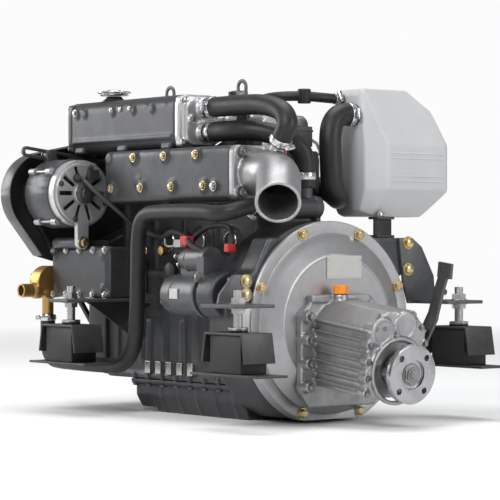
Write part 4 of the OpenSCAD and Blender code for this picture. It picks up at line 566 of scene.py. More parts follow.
ASTERN = along_shaft(AFT)
SIDE_LUGS = [(side * 61, z) for z in (-38, -12, 16, 44) for side in (-1, 1)]
FORE_LUGS = [(side * 83, -62 + (i + 0.9) * 40) for i in range(4) for side in (-1, 1)]


def roof_lugs(places):
    """The lugs along the stepped roof of the rear flange, as (across, up)."""
    return [(y, 94 if -26 < y < 31 else 72) for y in places]


GEAR_FLANGE = -166
FILLER = (-169, -15)
gear = cad_form("gearbox_case")
extra = bmesh.new()
slab(extra, (-58, -62, -44), (-46, 62, 66))
slab(extra, (-56, -40, 60), (-46, 30, 98))
for y, z in roof_lugs((-52, -34, -8, 12, 30, 50)):
    bar(extra, (-66, y, z), 22 * AFT, 7)
for y, z in SIDE_LUGS:
    bar(extra, (-64, y, z), 20.5 * AFT, 6.5)
for y, z in ((-37.2, 66), (12, 76)):
    turned(extra, [(0, 0), (0, 25), (5, 24), (6, 21), (3.4, 18), (3.2, 0)], (-45, y, z), AFT, 56)
bmesh.ops.transform(extra, matrix=TILT, verts=extra.verts)
join_form(gear, extra)
for y, z in FORE_LUGS:
    bar(gear, (GEAR_FLANGE - 30, y, z), 30 * AFT, 11, 9.5)
slab(gear, (-195, -70, 118), (-178, 60, 131))
bar(gear, (*FILLER, 92), 39 * UP, 14, 12.5)
fit(gear, "gearbox_casting", cast_silver, ["gearbox_case"], cast=1.8, settle=5)

dull_steel = surface("dull_steel", "dark_steel", (0.3, 0.3, 0.3), (0.2, 0.2, 0.2), 1.0, 0.38, 0.08, 400, 0.1)
gear_bolts = [((GEAR_FLANGE - 0.2, y, z), AFT, 6.6, 6) for y, z in FORE_LUGS]
for x, places in ((-44.3, roof_lugs((-52, -34, 30, 50))), (-43.8, SIDE_LUGS)):
    gear_bolts += [(along_shaft((x, y, z)), ASTERN, 4.6, 4) for y, z in places]
gear_bolts.append((along_shaft((-90, 10, -46)), along_shaft(DOWN), 8, 6))
bolt_set("gearbox_bolts", dull_steel, gear_bolts)

# Gearbox filler cap: moulded in orange, eight-sided, with its stem through the neck.
orange_plastic = surface("orange_plastic", "orange_plastic", (0.92, 0.3, 0.012), (0.8, 0.24, 0.01), 0.0,
                         0.38, 0.05, 500, 0.15)
filler = bmesh.new()
bar(filler, (*FILLER, 124), 8 * UP, 6)
bar(filler, (*FILLER, 108), 16 * UP, 2, sides=16)
bar(filler, (*FILLER, 132.2), 3.8 * UP, 13.4, sides=40)
bar(filler, (*FILLER, 135), 12 * UP, 13.8, 13, sides=8)
fit(filler, "gear_oil_filler", orange_plastic, ["gearbox_filler_cap"], body="gear_oil_cap", edge=1.2)

# Output shaft and coupling: turned and ground steel, bare, with fine tool rings on every face.
TOOL_RINGS = 260.0


def turned_metal(name, colour, roughness, slope):
    """Bare metal with the concentric rings that a lathe tool leaves round a sloping axis."""
    material = surface(name, "bright_steel", colour, tuple(0.8 * part for part in colour), 1.0, roughness,
                       0.05, 500, 0.08)
    tree = material.node_tree
    shader = tree.nodes["Principled BSDF"]
    place = add_node(tree, "ShaderNodeTexCoord").outputs["Object"]
    level = add_node(tree, "ShaderNodeVectorRotate", {"Vector": place, "Angle": math.radians(-slope)},
                     rotation_type="Y_AXIS")
    wave = add_node(tree, "ShaderNodeTexWave",
                    {"Vector": level.outputs[0], "Scale": TOOL_RINGS, "Distortion": 0.6}, wave_type="RINGS",
                    rings_direction="X")
    bump = add_node(tree, "ShaderNodeBump",
                    {"Height": wave.outputs["Fac"], "Strength": 0.25, "Distance": 0.0001})
    tree.links.new(bump.outputs[0], shader.inputs["Normal"])
    return material


ground_steel = turned_metal("ground_steel", (0.44, 0.44, 0.45), 0.27, SHAFT_SLOPE)
dress("output_coupling", "output_coupling_turned", ground_steel, body="output_train", edge=0.9, steps=3)
nut = bmesh.new()
bar(nut, along_shaft((-5, 0, 0)), 7.2 * ASTERN, 14.5, sides=6)
bar(nut, along_shaft((-5, 0, 0)), 1.4 * ASTERN, 19, sides=40)
bar(nut, (0, 0, 0), 3.8 * ASTERN, 8.5, 7.8)
fit(nut, "coupling_nut", dull_steel, body="output_train", edge=0.8)
lobes = bmesh.new()
for y, z in around(4, 38):
    bar(lobes, along_shaft((-30, y, z)), 19 * ASTERN, 8, sides=24)
fit(lobes, "coupling_lobes", dull_steel, body="output_train", edge=1.0)

# Shift lever: a flat forged arm, ground at the edges, with the cable's ball stud.
forged_grey = surface("forged_grey", "dark_steel", (0.12, 0.12, 0.125), (0.09, 0.09, 0.093), 0.9, 0.42, 0.06,
                      300, 0.3)
dress("shift_lever", "shift_lever_forging", forged_grey, body="shift_arm", edge=1.2, steps=3)

# Exhaust manifold: a water-jacketed iron box along the head, with bolt bosses, a drain boss
# underneath and a joint flange towards the elbow.
manifold = cad_form("exhaust_manifold")
slab(manifold, (-300, -160, 296), (-287, -74, 385))
slab(manifold, (-664, -161, 378), (-300, -80, 388.5))
for x, z in ((-655, 376), (-560, 330), (-330, 318)):
    bar(manifold, (x, -150, z), 16.5 * PORT, 10)
bar(manifold, (-520, -130, 296), 10 * DOWN, 12)
bar(manifold, (MANIFOLD_FORE, -120, 340), 6 * FORE, 26)
for x, z in MANIFOLD_BOLTS:
    bar(manifold, (x, MANIFOLD_FACE + 8, z), 8 * PORT, 11.5, 10)
fit(manifold, "exhaust_manifold_casting", casting_grey, ["exhaust_manifold"], cast=2.6)
manifold_plugs = bmesh.new()
bolt(manifold_plugs, (-520, -130, 286.5), DOWN, 9, 8)
bar(manifold_plugs, (-520, -130, 280), 8 * DOWN, 4)
for z in (304, 376):
    bolt(manifold_plugs, (-673, -92, z), FORE, 6.5)
bolt(manifold_plugs, (-330, -167, 318), PORT, 7)
fit(manifold_plugs, "manifold_plugs", zinc_bright, edge=0.4, steps=1)

# Exhaust elbow: cast aluminium, with a square flange on four studs, a bend, and the spigot that
# lets the raw water in. Its outlet has a rolled lip for the wet exhaust hose.
OUTLET = Vector((0.66913, -0.55226, -0.49726))
OUTLET_END = Vector((-133.85, -180.6, 285.94))
ELBOW_STUDS = ((-153, 306), (-87, 306), (-153, 376), (-87, 376))
elbow = cad_form("exhaust_elbow")
for y, z in ELBOW_STUDS:
    bar(elbow, (-286, y, z), 16 * AFT, 13, 12)
slab(elbow, (-284, -126, 292), (-262, -114, 300))
slab(elbow, (-276, -122, 372), (-252, -112, 381))
fit(elbow, "exhaust_elbow_casting", cast_silver, ["exhaust_elbow"], cast=1.7, settle=5)
lip = bmesh.new()
turned(lip, [(-5, 37), (-5, 38.3), (-1.5, 38.8), (-0.4, 38.2), (0, 36.8), (-0.4, 34.2), (-5, 33.4)],
       OUTLET_END, OUTLET, 96, closed=True)
fit(lip, "exhaust_outlet_lip", cast_silver, crease=60)
elbow_nuts = bmesh.new()
for y, z in ELBOW_STUDS:
    bolt(elbow_nuts, (-270.2, y, z), AFT, 8, 7)
    bar(elbow_nuts, (-264, y, z), 6 * AFT, 3.6, sides=20)
fit(elbow_nuts, "elbow_nuts", dull_steel, edge=0.4, steps=1)

# Heat exchanger: a long rounded aluminium body, painted like the castings, with a belt line, a
# few blind bosses along its shoulder and the filler neck on top. Its side stays bare.
satin_grey = surface("satin_grey", "cast_grey", (0.046, 0.047, 0.05), (0.04, 0.041, 0.0435), 0.3, 0.4, 0.03,
                     620, 0.2, 0.0002, (0.16, 0.16, 0.17), 0.5)
tank = cad_form("heat_exchanger")
for x in (-790, -768, -670, -640, -610, -560, -500):
    bar(tank, (x, -120, 466), 30 * PORT, 6.5, 6)
bar(tank, (-717, -110, 480), 10 * UP, 23, 20)
slab(tank, (-800, -151.5, 407), (-474, -140, 411))
for x in (-780, -640, -500):
    slab(tank, (x - 14, -149, 388), (x + 14, -120, 396))
fit(tank, "heat_exchanger_body", satin_grey, ["heat_exchanger"], cast=2.3)
tank_plugs = bmesh.new()
bolt(tank_plugs, (-790, -150.5, 466), PORT, 5)
for x in (-640, -610, -670):
    turned(tank_plugs, [(0, 0), (0, 5), (1.6, 4.4), (2.4, 2.6), (2.6, 0)], (x, -150.5, 466), PORT, 24)
fit(tank_plugs, "exchanger_plugs", zinc_bright, edge=0.3, steps=1)

# End covers of the exchanger: castings on four screws each. The aft one is bright and domed, with
# two hose spigots that end in raised beads; the fore one is painted like the body.
bright_cast = surface("bright_cast", "bright_alloy", (0.6, 0.6, 0.605), (0.48, 0.48, 0.485), 0.7, 0.34, 0.06,
                      420, 0.25)
COVER_SCREWS = ((-140, 399), (-72, 399), (-140, 475), (-72, 475))
covers = cad_form("exchanger_covers")
turned(covers, [(0, 0), (0, 36), (5, 35), (9, 31), (12, 24), (13.5, 12), (14, 0)], (-457, -106, 439), AFT,
       64)
for z in (461, 417):
    turned(covers, [(0, 0), (0, 17), (4, 15.5), (8, 14), (16, 13), (16, 0)], (-446, -105, z), AFT, 48)
for y, z in COVER_SCREWS:
    bar(covers, (-470, y, z), 17 * AFT, 8, 7.5)
    bar(covers, (-802, y, z), 17 * FORE, 8, 7.5)
bar(covers, (-446, -131, 440), 6 * AFT, 7)
cover_pair = fit(covers, "exchanger_cover_castings", bright_cast, ["exchanger_covers"], cast=1.9)
cover_pair.data.materials.append(satin_grey)
for face in cover_pair.data.polygons:
    face.material_index = int(face.center.x < -700 * MM)
cover_screws = [((-440.4, -131, 440), AFT, 5)]
for x, out in ((-453.4, AFT), (-818.6, FORE)):
    cover_screws += [((x, y, z), out, 5.4) for y, z in COVER_SCREWS]
bolt_set("exchanger_cover_screws", zinc_bright, cover_screws, edge=0.3)

# Coolant pressure cap: pressed bright steel with two grip ears and a stepped crown.
chrome_steel = surface("chrome_steel", "bright_steel", (0.66, 0.66, 0.67), (0.5, 0.5, 0.51), 1.0, 0.22, 0.05,
                       200, 0.05)
CAP = (-717, -110, 496)
cap = bmesh.new()
turned(cap, [(-9.8, 0), (-9.8, 11), (0.2, 11), (0.2, 26), (1.2, 27.4), (2, 27.4), (2.6, 26), (4.2, 25.6),
             (5, 30.5), (5.8, 31.6), (7.4, 31.6), (8.2, 30.4), (8.6, 16), (10.6, 14), (11.6, 11), (12, 5),
             (12, 0)], CAP, UP, 72)
for side in (-1, 1):
    slab(cap, (CAP[0] + side * 30 - 7, -117, 500.6), (CAP[0] + side * 30 + 7, -103, 504.4))
fit(cap, "coolant_pressure_cap", chrome_steel, ["coolant_cap"], body="pressure_cap", edge=0.8)

# Lifting eyes: flame-cut plates with rounded edges, painted with the engine.
dress("lifting_eyes", "lifting_eye_plates", casting_grey, slot="dark_steel", edge=0.9)

# Raw-water pump: a bronze body with a flat cover on six screws and two cast pipes.
bronze = surface("bronze", "brass", (0.58, 0.36, 0.11), (0.4, 0.24, 0.08), 0.95, 0.38, 0.08, 260, 0.35,
                 0.0004, (0.8, 0.62, 0.3), 0.8)
PUMP_AXIS = (-176, 146)
pump = cad_form("raw_water_pump")
bar(pump, (-840, -176, 118), 56 * UP, 9)
turned(pump, [(0, 0), (0, 16), (10, 15), (12, 13.4), (12, 0)], (-845, -200, 130), PORT, 40)
fit(pump, "raw_water_pump_bronze", bronze, ["raw_water_pump"], cast=1.3, settle=3)
pump_screws = [((-866, y, z), FORE, 3.6, 2.4) for y, z in around(6, 24, PUMP_AXIS)]
bolt_set("pump_cover_screws", bronze, pump_screws, edge=0.3)

# Hoses: smooth extruded black rubber over a woven ply, with a satin bloom, pushed over their
# spigots and held by worm-drive clips.
hose_black = surface("hose_black", "hose_rubber", (0.012, 0.012, 0.013), (0.018, 0.018, 0.019), 0.0, 0.46,
                     0.06, 900, 0.15, 0.0001, specular=0.36)
RAW_ROUTE = [
    (-845, -176, 84), (-845, -176, 64), (-845, -176, 40), (-841, -176, 16), (-826, -177, 1),
    (-800, -178, -3), (-740, -182, -4), (-660, -187, -4), (-610, -189, -3), (-574, -190, 2),
    (-545, -190, 24), (-533, -190, 56), (-528, -190, 110), (-526, -190, 170), (-524, -190, 225),
    (-516, -190, 256), (-494, -190, 271), (-450, -190, 274), (-390, -190, 274), (-330, -190, 273),
    (-290, -188, 270), (-264, -175, 274), (-255, -154, 281), (-255, -140, 282), (-255, -129, 282),
    (-255, -118, 282),
]
LOWER_ROUTE = [
    (-255, -24, 316), (-255, -24, 330), (-255, -24, 346), (-256, -30, 378), (-270, -50, 401),
    (-300, -78, 413), (-334, -98, 417), (-366, -105, 417), (-398, -105, 417), (-428, -105, 417),
]
UPPER_ROUTE = [
    (-428, -105, 461), (-405, -105, 461), (-370, -105, 461), (-325, -105, 461), (-276, -105, 459),
    (-236, -106, 452), (-208, -108, 440), (-196, -111, 421), (-204, -113, 404), (-210, -113, 396),
    (-216, -113, 388),
]
DUCT_ROUTE = [
    (-292, 118, 450), (-292, 108, 450), (-292, 96, 450), (-291, 80, 445), (-289, 66, 430), (-287, 60, 405),
    (-286, 60, 368), (-286, 62, 335), (-289, 70, 312), (-298, 86, 301), (-314, 96, 303), (-334, 97, 313),
    (-352, 97, 318), (-366, 97, 318), (-380, 97, 318),
]
BREATHER_ROUTE = [
    (-420, 0, 448), (-420, 0, 456), (-420, 0, 463), (-414, 1, 475), (-396, 7, 481), (-366, 20, 483),
    (-342, 45, 483), (-329, 74, 481), (-326, 98, 480), (-326, 108, 480), (-326, 118, 480),
]


def eased(route, steps=6):
    """Points along a smooth curve through every point of a route."""
    points = [Vector(point) for point in route]
    out = []
    for i in range(len(points) - 1):
        a, b, c, d = points[max(i - 1, 0)], points[i], points[i + 1], points[min(i + 2, len(points) - 1)]
        for k in range(steps):
            t = k / steps
            out.append(b + t * (c - a) / 2 + t * t * (2 * a - 5 * b + 4 * c - d) / 2
                       + t * t * t * (3 * b - a - 3 * c + d) / 2)
    return out + [points[-1]]


def run_tube(form, route, radius, sides):
    """Sweeps a round section along a route."""
    points = eased(route)
    out = (points[1] - points[0]).normalized()
    across = out.orthogonal().normalized()
    rings = []
    for i, point in enumerate(points):
        ahead = (points[min(i + 1, len(points) - 1)] - points[max(i - 1, 0)]).normalized()
        across = (across - ahead * across.dot(ahead)).normalized()
        turn = Matrix((across, ahead.cross(across), ahead)).transposed().to_4x4()
        place = Matrix.Translation(point) @ turn
        ends = i in (0, len(points) - 1)
        made = bmesh.ops.create_circle(form, cap_ends=ends, segments=sides, radius=radius, matrix=place)
        rings.append(made["verts"])
    for lower, upper in zip(rings, rings[1:]):
        for k in range(sides):
            n = (k + 1) % sides
            form.faces.new((lower[k], lower[n], upper[n], upper[k]))


def swept(tubes, sides=28):
    """Tubes as one form, each given as its route and its radius."""
    form = bmesh.new()
    for route, radius in tubes:
        run_tube(form, route, radius, sides)
    bmesh.ops.recalc_face_normals(form, faces=form.faces)
    return form


RAW_HOSE = 14
COOLER_HOSE = 18
DUCT_HOSE = 20
BREATHER_HOSE = 9
HOSES = (("raw_water_hose", RAW_ROUTE, RAW_HOSE), ("lower_cooler_hose", LOWER_ROUTE, COOLER_HOSE),
         ("upper_cooler_hose", UPPER_ROUTE, COOLER_HOSE), ("intake_duct", DUCT_ROUTE, DUCT_HOSE))
for node, route, radius in HOSES:
    fit(swept([(route, radius)]), node + "_rubber", hose_black, [node], edge=1.6, steps=3, crease=50)
breather = swept([(BREATHER_ROUTE, BREATHER_HOSE)])
turned(breather, [(0, 0), (0, 11), (2, 12), (24, 12), (26, 10.5), (26, 0)], (-342, 45, 470), UP, 40)
fit(breather, "breather_hose_rubber", hose_black, ["breather_hose"], edge=0.8)

# Hose clips: perforated bright bands with a worm screw in its housing.


def clip(form, centre, axis, radius, turn):
    """One worm-drive clip round a hose, its screw housing turned to where it is reached."""
    axis = Vector(axis).normalized()
    turned(form, [(-6, radius + 0.1), (-6, radius + 1.1), (-5, radius + 1.5), (5, radius + 1.5),
                  (6, radius + 1.1), (6, radius + 0.1)], centre, axis, 56, closed=True)
    out = axis.orthogonal().normalized()
    out = Matrix.Rotation(math.radians(turn), 3, axis) @ out
    along = axis.cross(out)
    seat = Vector(centre) + out * (radius + 4.5)
    bar(form, seat - 8 * along, 16 * along, 4.4, sides=20)
    bar(form, seat + 8 * along, 4 * along, 3.6, sides=6)
    for k in range(-5, 18):
        tooth = Matrix.Rotation(k * 0.16 + 0.5, 3, axis) @ out
        place = Vector(centre) + tooth * (radius + 1.55)
        bar(form, place - 3 * axis, 6 * axis, 0.55, sides=6)


clips = bmesh.new()
clip(clips, (-414, -105, 461), AFT, COOLER_HOSE, 130)
clip(clips, (-414, -105, 417), AFT, COOLER_HOSE, 250)
clip(clips, (-845, -176, 78), DOWN, RAW_HOSE, 0)
fit(clips, "hose_clip_bands", chrome_steel, ["hose_clips"], edge=0.25, steps=1)
more_clips = bmesh.new()
clip(more_clips, (-211, -113, 394.5), (-0.6, 0, -0.8), COOLER_HOSE, 200)
clip(more_clips, (-255, -24, 336), UP, COOLER_HOSE, 90)
clip(more_clips, (-255, -136, 282), STARBOARD, RAW_HOSE, 160)
clip(more_clips, (-292, 108, 450), STARBOARD, DUCT_HOSE, 40)
clip(more_clips, (-366, 97, 318), AFT, DUCT_HOSE, 0)
clip(more_clips, (-326, 106, 480), STARBOARD, BREATHER_HOSE, 20)
fit(more_clips, "spare_hose_clips", chrome_steel, edge=0.25, steps=1)

# Gear oil cooler: a drawn tube with brazed end caps, painted grey, strapped to the housing.
cooler = bmesh.new()
turned(cooler, [(0, 0), (0, 11), (16, 11), (17, 18), (19, 20), (30, 20), (31, 21), (35, 21), (36, 20),
                (108, 20), (109, 21), (113, 21), (114, 20), (121, 20), (124, 17), (124, 0)],
       (-255, -118, 282), STARBOARD, 56)
bar(cooler, (-255, -24, 282), 34 * UP, 13)
slab(cooler, (-263, -5, 258), (-247, 5, 272))
fit(cooler, "gear_oil_cooler_tube", satin_grey, ["gear_oil_cooler"], slot="starter_paint", edge=0.8)

# Alternator: a die-cast front bracket and a laminated stator between two slotted ends, the
# rear one bright, clamped by four long screws.
SHAFT = Vector((0, -190, 312))


def carve(form, tool):
    """Cuts one form out of another."""
    body = grow_mesh(form.copy(), "body")
    cutter = grow_mesh(tool, "cutter")
    form.clear()
    knife = body.modifiers.new("cut", "BOOLEAN")
    knife.operation = "DIFFERENCE"
    knife.solver = "EXACT"
    knife.use_self = True
    knife.object = cutter
    bake_shape(body)
    form.from_mesh(body.data)
    bmesh.ops.scale(form, vec=(1 / MM, 1 / MM, 1 / MM), verts=form.verts)
    for spare in (body, cutter):
        bpy.data.objects.remove(spare)


stator_grey = surface("stator_grey", "bright_alloy", (0.1, 0.102, 0.106), (0.075, 0.077, 0.08), 0.7, 0.4,
                      0.06, 500, 0.25)
front = cad_form("alternator_body")
stator = bmesh.new()
turned(stator, [(0.5, 20), (0.5, 56), (3, 61), (6, 63.4), (18, 63.8), (19, 62), (21, 62), (22, 64), (54, 64),
                (55, 62), (57, 62), (58, 63.8), (75.5, 63.8), (75.5, 50), (12, 48), (12, 20)],
       (-803, SHAFT.y, SHAFT.z), AFT, 96, closed=True)
slots = bmesh.new()
for k in range(26):
    turn = Matrix.Translation((0, SHAFT.y, SHAFT.z)) @ Matrix.Rotation(math.tau * k / 26, 4, "X")
    for low, high in (((-796, -3, 58), (-789, 3, 70)), ((-741, -4, 59), (-735, 4, 70))):
        piece = bmesh.new()
        slab(piece, low, high)
        bmesh.ops.transform(piece, matrix=turn, verts=piece.verts)
        join_form(slots, piece)
carve(stator, slots)
fit(stator, "alternator_stator", stator_grey, edge=0.5, steps=1)
fit(front, "alternator_front_casting", stator_grey, ["alternator_body"], edge=0.8)
ears = bmesh.new()
for y, z in around(4, 66, (SHAFT.y, SHAFT.z), 38 / 90):
    bar(ears, (-800, y, z), 18 * AFT, 6.5)
    bar(ears, (-782, y, z), 38 * AFT, 2.6, sides=16)
    bar(ears, (-744, y, z), 17 * AFT, 6.5)
fit(ears, "alternator_clamp_screws", cast_silver, edge=0.8)

dress("alternator_rear_bracket", "alternator_rear_casting", bright_cast, slot="polished_alloy", edge=1.6,
      steps=3)
rear_parts = bmesh.new()
turned(rear_parts, [(0, 0), (0, 19), (5, 19), (7, 16), (7.5, 9), (9, 8), (9, 0)], (-698.2, SHAFT.y, SHAFT.z),
       AFT, 48)
for y, z in around(4, 51, (SHAFT.y, SHAFT.z), 20 / 90):
    bolt(rear_parts, (-703.3, y, z), AFT, 4.2, 3.4)
slab(rear_parts, (-704, -182, 338), (-694, -160, 356))
bar(rear_parts, (-703, -206, 340), 15 * AFT, 3.4, sides=20)
bolt(rear_parts, (-700, -206, 340), AFT, 6.4, 5)
fit(rear_parts, "alternator_terminals", stator_grey, edge=0.5)
PIVOT_BOLT = ((-702.6, -190, 220), AFT, 9.5, 8)
bolt_set("alternator_pivot_bolt", zinc_yellow, [PIVOT_BOLT], edge=0.5, steps=2)

pulley_grey = surface("pulley_grey", "pulley_paint", (0.065, 0.066, 0.07), (0.05, 0.051, 0.054), 0.5, 0.36,
                      0.05, 420, 0.2, 0.0003, (0.35, 0.35, 0.36), 1.0)
dress("alternator_rotor", "alternator_rotor_turned", pulley_grey, slot="dark_steel", body="alternator_train",
      edge=0.6)
PULLEY_NUT = ((-854.2, SHAFT.y, SHAFT.z), FORE, 12, 8)
bolt_set("alternator_pulley_nut", zinc_bright, [PULLEY_NUT], steps=2, body="alternator_train")
dress("alternator_mounting", "alternator_mounting_steel", casting_grey, edge=1.2)
STRAP_BOLTS = (((-815.2, -200, 386), FORE), ((-808.8, -200, 386), AFT), ((-815.2, -65, 368), FORE))
bolt_set("strap_bolts", zinc_yellow, [(seat, out, 7, 5) for seat, out in STRAP_BOLTS])

# Belt drive: the guard is a pressed steel tray, the belt a ribbed rubber loop round three
# turned pulleys.
dress("belt_guard", "belt_guard_pressing", pulley_grey, edge=1.0, steps=3, crease=40)
dress("drive_belt", "drive_belt_rubber", hose_black, edge=1.4, crease=40)
for node, train in (("crank_pulley", "crank_train"), ("coolant_pump_pulley", "coolant_pump_train")):
    dress(node, node + "_turned", pulley_grey, body=train, edge=0.8)
water_pump = cad_form("coolant_pump")
for y, z in around(5, 36, (0, 350)):
    bar(water_pump, (-813, y, z), 7 * AFT, 8)
fit(water_pump, "coolant_pump_casting", casting_grey, ["coolant_pump"], cast=2.0)

# Starter motor: a drawn steel yoke between a cast nose and a pressed end cap, with its
# solenoid alongside. Both are painted grey and the blank rating plate is bare metal.
starter_grey = surface("starter_grey", "starter_paint", (0.1, 0.102, 0.106), (0.085, 0.087, 0.09), 0.35,
                       0.36, 0.05, 480, 0.2)
STARTER = (-330, -165, 129)
SOLENOID = (-330, -165, 191)
starter = bmesh.new()
turned(starter, [(1, 0), (1, 29), (-9, 30), (-9, 41), (-13, 42), (-17, 41), (-20, 37), (-24, 36.4),
                 (-84, 36.4), (-85, 38), (-88, 38), (-89, 36), (-112, 35), (-117, 33), (-120, 26),
                 (-120, 12), (-124, 10), (-124, 0)], STARTER, AFT, 72)
turned(starter, [(-7, 0), (-7, 22), (-60, 22), (-61, 23), (-66, 23), (-67, 20), (-82, 19), (-88, 16),
                 (-89, 0)], SOLENOID, AFT, 56)
slab(starter, (-418, -174, 160), (-339, -156, 178))
slab(starter, (-352, -188, 122), (-331, -142, 196))
bar(starter, STARTER, 24 * AFT, 12)
fit(starter, "starter_motor_body", starter_grey, ["starter_motor"], edge=0.9, crease=40)
rating = bmesh.new()
slab(rating, (-412, -203.2, 122), (-388, -198, 140))
fit(rating, "blank_rating_plate", plate_face, edge=0.8)
starter_bits = bmesh.new()
for turn in (0.6, 2.4, 4.2):
    y, z = STARTER[1] + 27 * math.sin(turn), STARTER[2] + 27 * math.cos(turn)
    bolt(starter_bits, (-448.4, y, z), FORE, 4.6, 3.6)
for y, z in ((-176, 196), (-158, 200), (-170, 182)):
    bar(starter_bits, (-418, y, z), 14 * FORE, 3.4, sides=20)
    bolt(starter_bits, (-421, y, z), FORE, 6, 4)
bolt(starter_bits, (-330.4, -198, 160), FORE, 7)
fit(starter_bits, "starter_studs", zinc_bright, edge=0.3, steps=1)

# Wiring: a taped black loom with thin coloured leads, plugs in red, white and grey plastic, a
# gold sender and a black sensor, all on the port side. Bent smoothly, as the real leads hang.
loom_black = surface("loom_black", "hose_rubber", (0.02, 0.02, 0.021), (0.034, 0.034, 0.035), 0.0, 0.55,
                     0.12, 380, 0.4, 0.0003)
lead_red = surface("lead_red", "orange_plastic", (0.5, 0.02, 0.016), (0.34, 0.014, 0.012), 0.0, 0.42, 0.08,
                   500, 0.15)
lead_white = surface("lead_white", "orange_plastic", (0.7, 0.69, 0.66), (0.56, 0.55, 0.52), 0.0, 0.45, 0.08,
                     500, 0.15)
LOOMS = [
    ([(-470, -112, 214), (-455, -124, 226), (-430, -150, 236), (-400, -176, 232), (-372, -184, 216),
      (-352, -176, 205)], 5),
    ([(-470, -112, 206), (-448, -128, 212), (-436, -158, 206), (-428, -170, 198)], 4),
    ([(-470, -112, 222), (-420, -120, 244), (-370, -128, 250), (-320, -140, 246), (-300, -150, 228),
      (-296, -160, 214)], 4.5),
    ([(-560, -104, 232), (-530, -112, 240), (-500, -112, 236), (-470, -112, 222)], 6),
    ([(-640, -100, 242), (-612, -91, 234), (-585, -93, 230), (-560, -104, 232)], 6),
    ([(-700, -196, 340), (-676, -184, 318), (-652, -150, 282), (-644, -112, 250), (-638, -99, 241)], 4.5),
    ([(-262, -66, 452), (-262, -62, 420), (-262, -64, 380), (-258, -72, 340), (-256, -84, 316),
      (-262, -98, 306)], 3.4),
]
fit(swept(LOOMS, 16), "wiring_loom", loom_black, crease=60)
LEAD = 1.7
RED_ROUTES = [
    [(-452, -122, 224), (-436, -140, 214), (-420, -160, 210), (-404, -172, 214), (-392, -178, 222)],
    [(-258, -68, 452), (-256, -62, 418), (-256, -66, 380), (-252, -74, 340), (-250, -84, 318),
     (-254, -98, 308)],
    [(-470, -108, 200), (-456, -118, 190), (-448, -126, 176), (-446, -124, 160)],
]
WHITE_ROUTES = [
    [(-560, -106, 228), (-540, -118, 216), (-520, -120, 214), (-500, -118, 220)],
    [(-452, -122, 218), (-440, -138, 196), (-432, -140, 178), (-436, -128, 160)],
]
for title, paint, routes in (("red_leads", lead_red, RED_ROUTES), ("white_leads", lead_white, WHITE_ROUTES)):
    fit(swept([(route, LEAD) for route in routes], 12), title, paint, slot="hose_rubber", crease=60)
red_plugs = bmesh.new()
slab(red_plugs, (-404, -186, 216), (-384, -170, 232))
slab(red_plugs, (-300, -168, 204), (-288, -150, 218))
fit(red_plugs, "red_plugs", lead_red, edge=1.4)
pale_plugs = bmesh.new()
slab(pale_plugs, (-508, -124, 212), (-488, -108, 226))
bar(pale_plugs, (-446, -124, 162), 20 * DOWN, 6)
fit(pale_plugs, "pale_plugs", lead_white, edge=1.2)
senders = bmesh.new()
bar(senders, (-486, -104, 196), 14 * PORT, 11, sides=6)
bar(senders, (-486, -118, 196), 12 * PORT, 7)
bar(senders, (-560, -104, 206), 12 * PORT, 9, sides=6)
fit(senders, "gold_senders", bronze, edge=0.6)
sensor = bmesh.new()
turned(sensor, [(0, 0), (0, 14), (8, 14), (9, 12), (14, 12), (15, 15), (22, 15), (24, 12), (24, 0)],
       (-520, -104, 170), PORT, 48)
fit(sensor, "oil_pressure_sensor", black_plastic, edge=0.6)

# Dipstick: a steel blade with a wire ring, in a plated tube held by a boss on the crankcase.
dress("dipstick_tube", "dipstick_tube_steel", zinc_bright, edge=0.5)
dress("dipstick", "dipstick_wire", zinc_yellow, slot="bright_steel", body="oil_dipstick", crease=50)

# Relay box: moulded black plastic with a lid line, on a folded steel plate.
box = cad_form("relay_box")
slab(box, (-330, -18, 416), (-294.5, 28, 420))
fit(box, "relay_box_moulding", black_plastic, ["relay_box"], edge=1.6, steps=3)

# Intake silencer: a moulded pale grey box with many soft-edged facets. A level band with two
# pairs of raised lines runs round its aft face; above and below it the face slopes away.
silencer_grey = surface("silencer_grey", "silencer_paint", (0.5, 0.505, 0.51), (0.43, 0.435, 0.44), 0.0,
                        0.42, 0.07, 70, 0.18, 0.0002, (0.62, 0.62, 0.62), 0.4)
DRUM_FORE = [(126, 268), (255, 268), (303, 313), (303, 397), (276, 458), (226, 495), (126, 495), (118, 487),
             (118, 276)]
DRUM_POINTS = [(-345, y * 0.97 + 6, z * 0.97 + 11) for y, z in DRUM_FORE]
DRUM_POINTS += [(-331, y, z) for y, z in DRUM_FORE]
DRUM_POINTS += [
    (-331, 259, 267), (-331, 308, 313), (-331, 308, 398), (-331, 280, 460), (-331, 228, 497),
    (-331, 124, 497), (-272, 124, 497), (-272, 226, 497), (-262, 278, 460), (-250, 308, 398),
    (-250, 308, 313), (-268, 258, 267), (-235, 150, 396), (-235, 292, 396), (-235, 292, 316),
    (-235, 150, 316), (-264, 140, 267), (-331, 124, 267), (-280, 118, 486), (-262, 118, 398),
    (-262, 118, 314), (-276, 118, 278), (-331, 118, 486), (-331, 118, 278),
]
drum = bmesh.new()
for point in DRUM_POINTS:
    drum.verts.new(point)
hull = bmesh.ops.convex_hull(drum, input=drum.verts)
spare = {e for e in hull["geom_interior"] + hull["geom_unused"] if isinstance(e, bmesh.types.BMVert)}
bmesh.ops.delete(drum, geom=list(spare), context="VERTS")
bmesh.ops.dissolve_limit(drum, angle_limit=math.radians(4), verts=drum.verts, edges=drum.edges)
fit(drum, "silencer_drum", silencer_grey, ["intake_silencer"], edge=9, steps=5, crease=9)
ribs = bmesh.new()
for z in (331, 340, 372, 381):
    bar(ribs, (-235.6, 160, z), 124 * STARBOARD, 1.9, sides=16)
fit(ribs, "silencer_raised_lines", silencer_grey, crease=60)
bolt_set("silencer_bolt", zinc_bright, [((-252, 148, 270), AFT, 6)], steps=2)
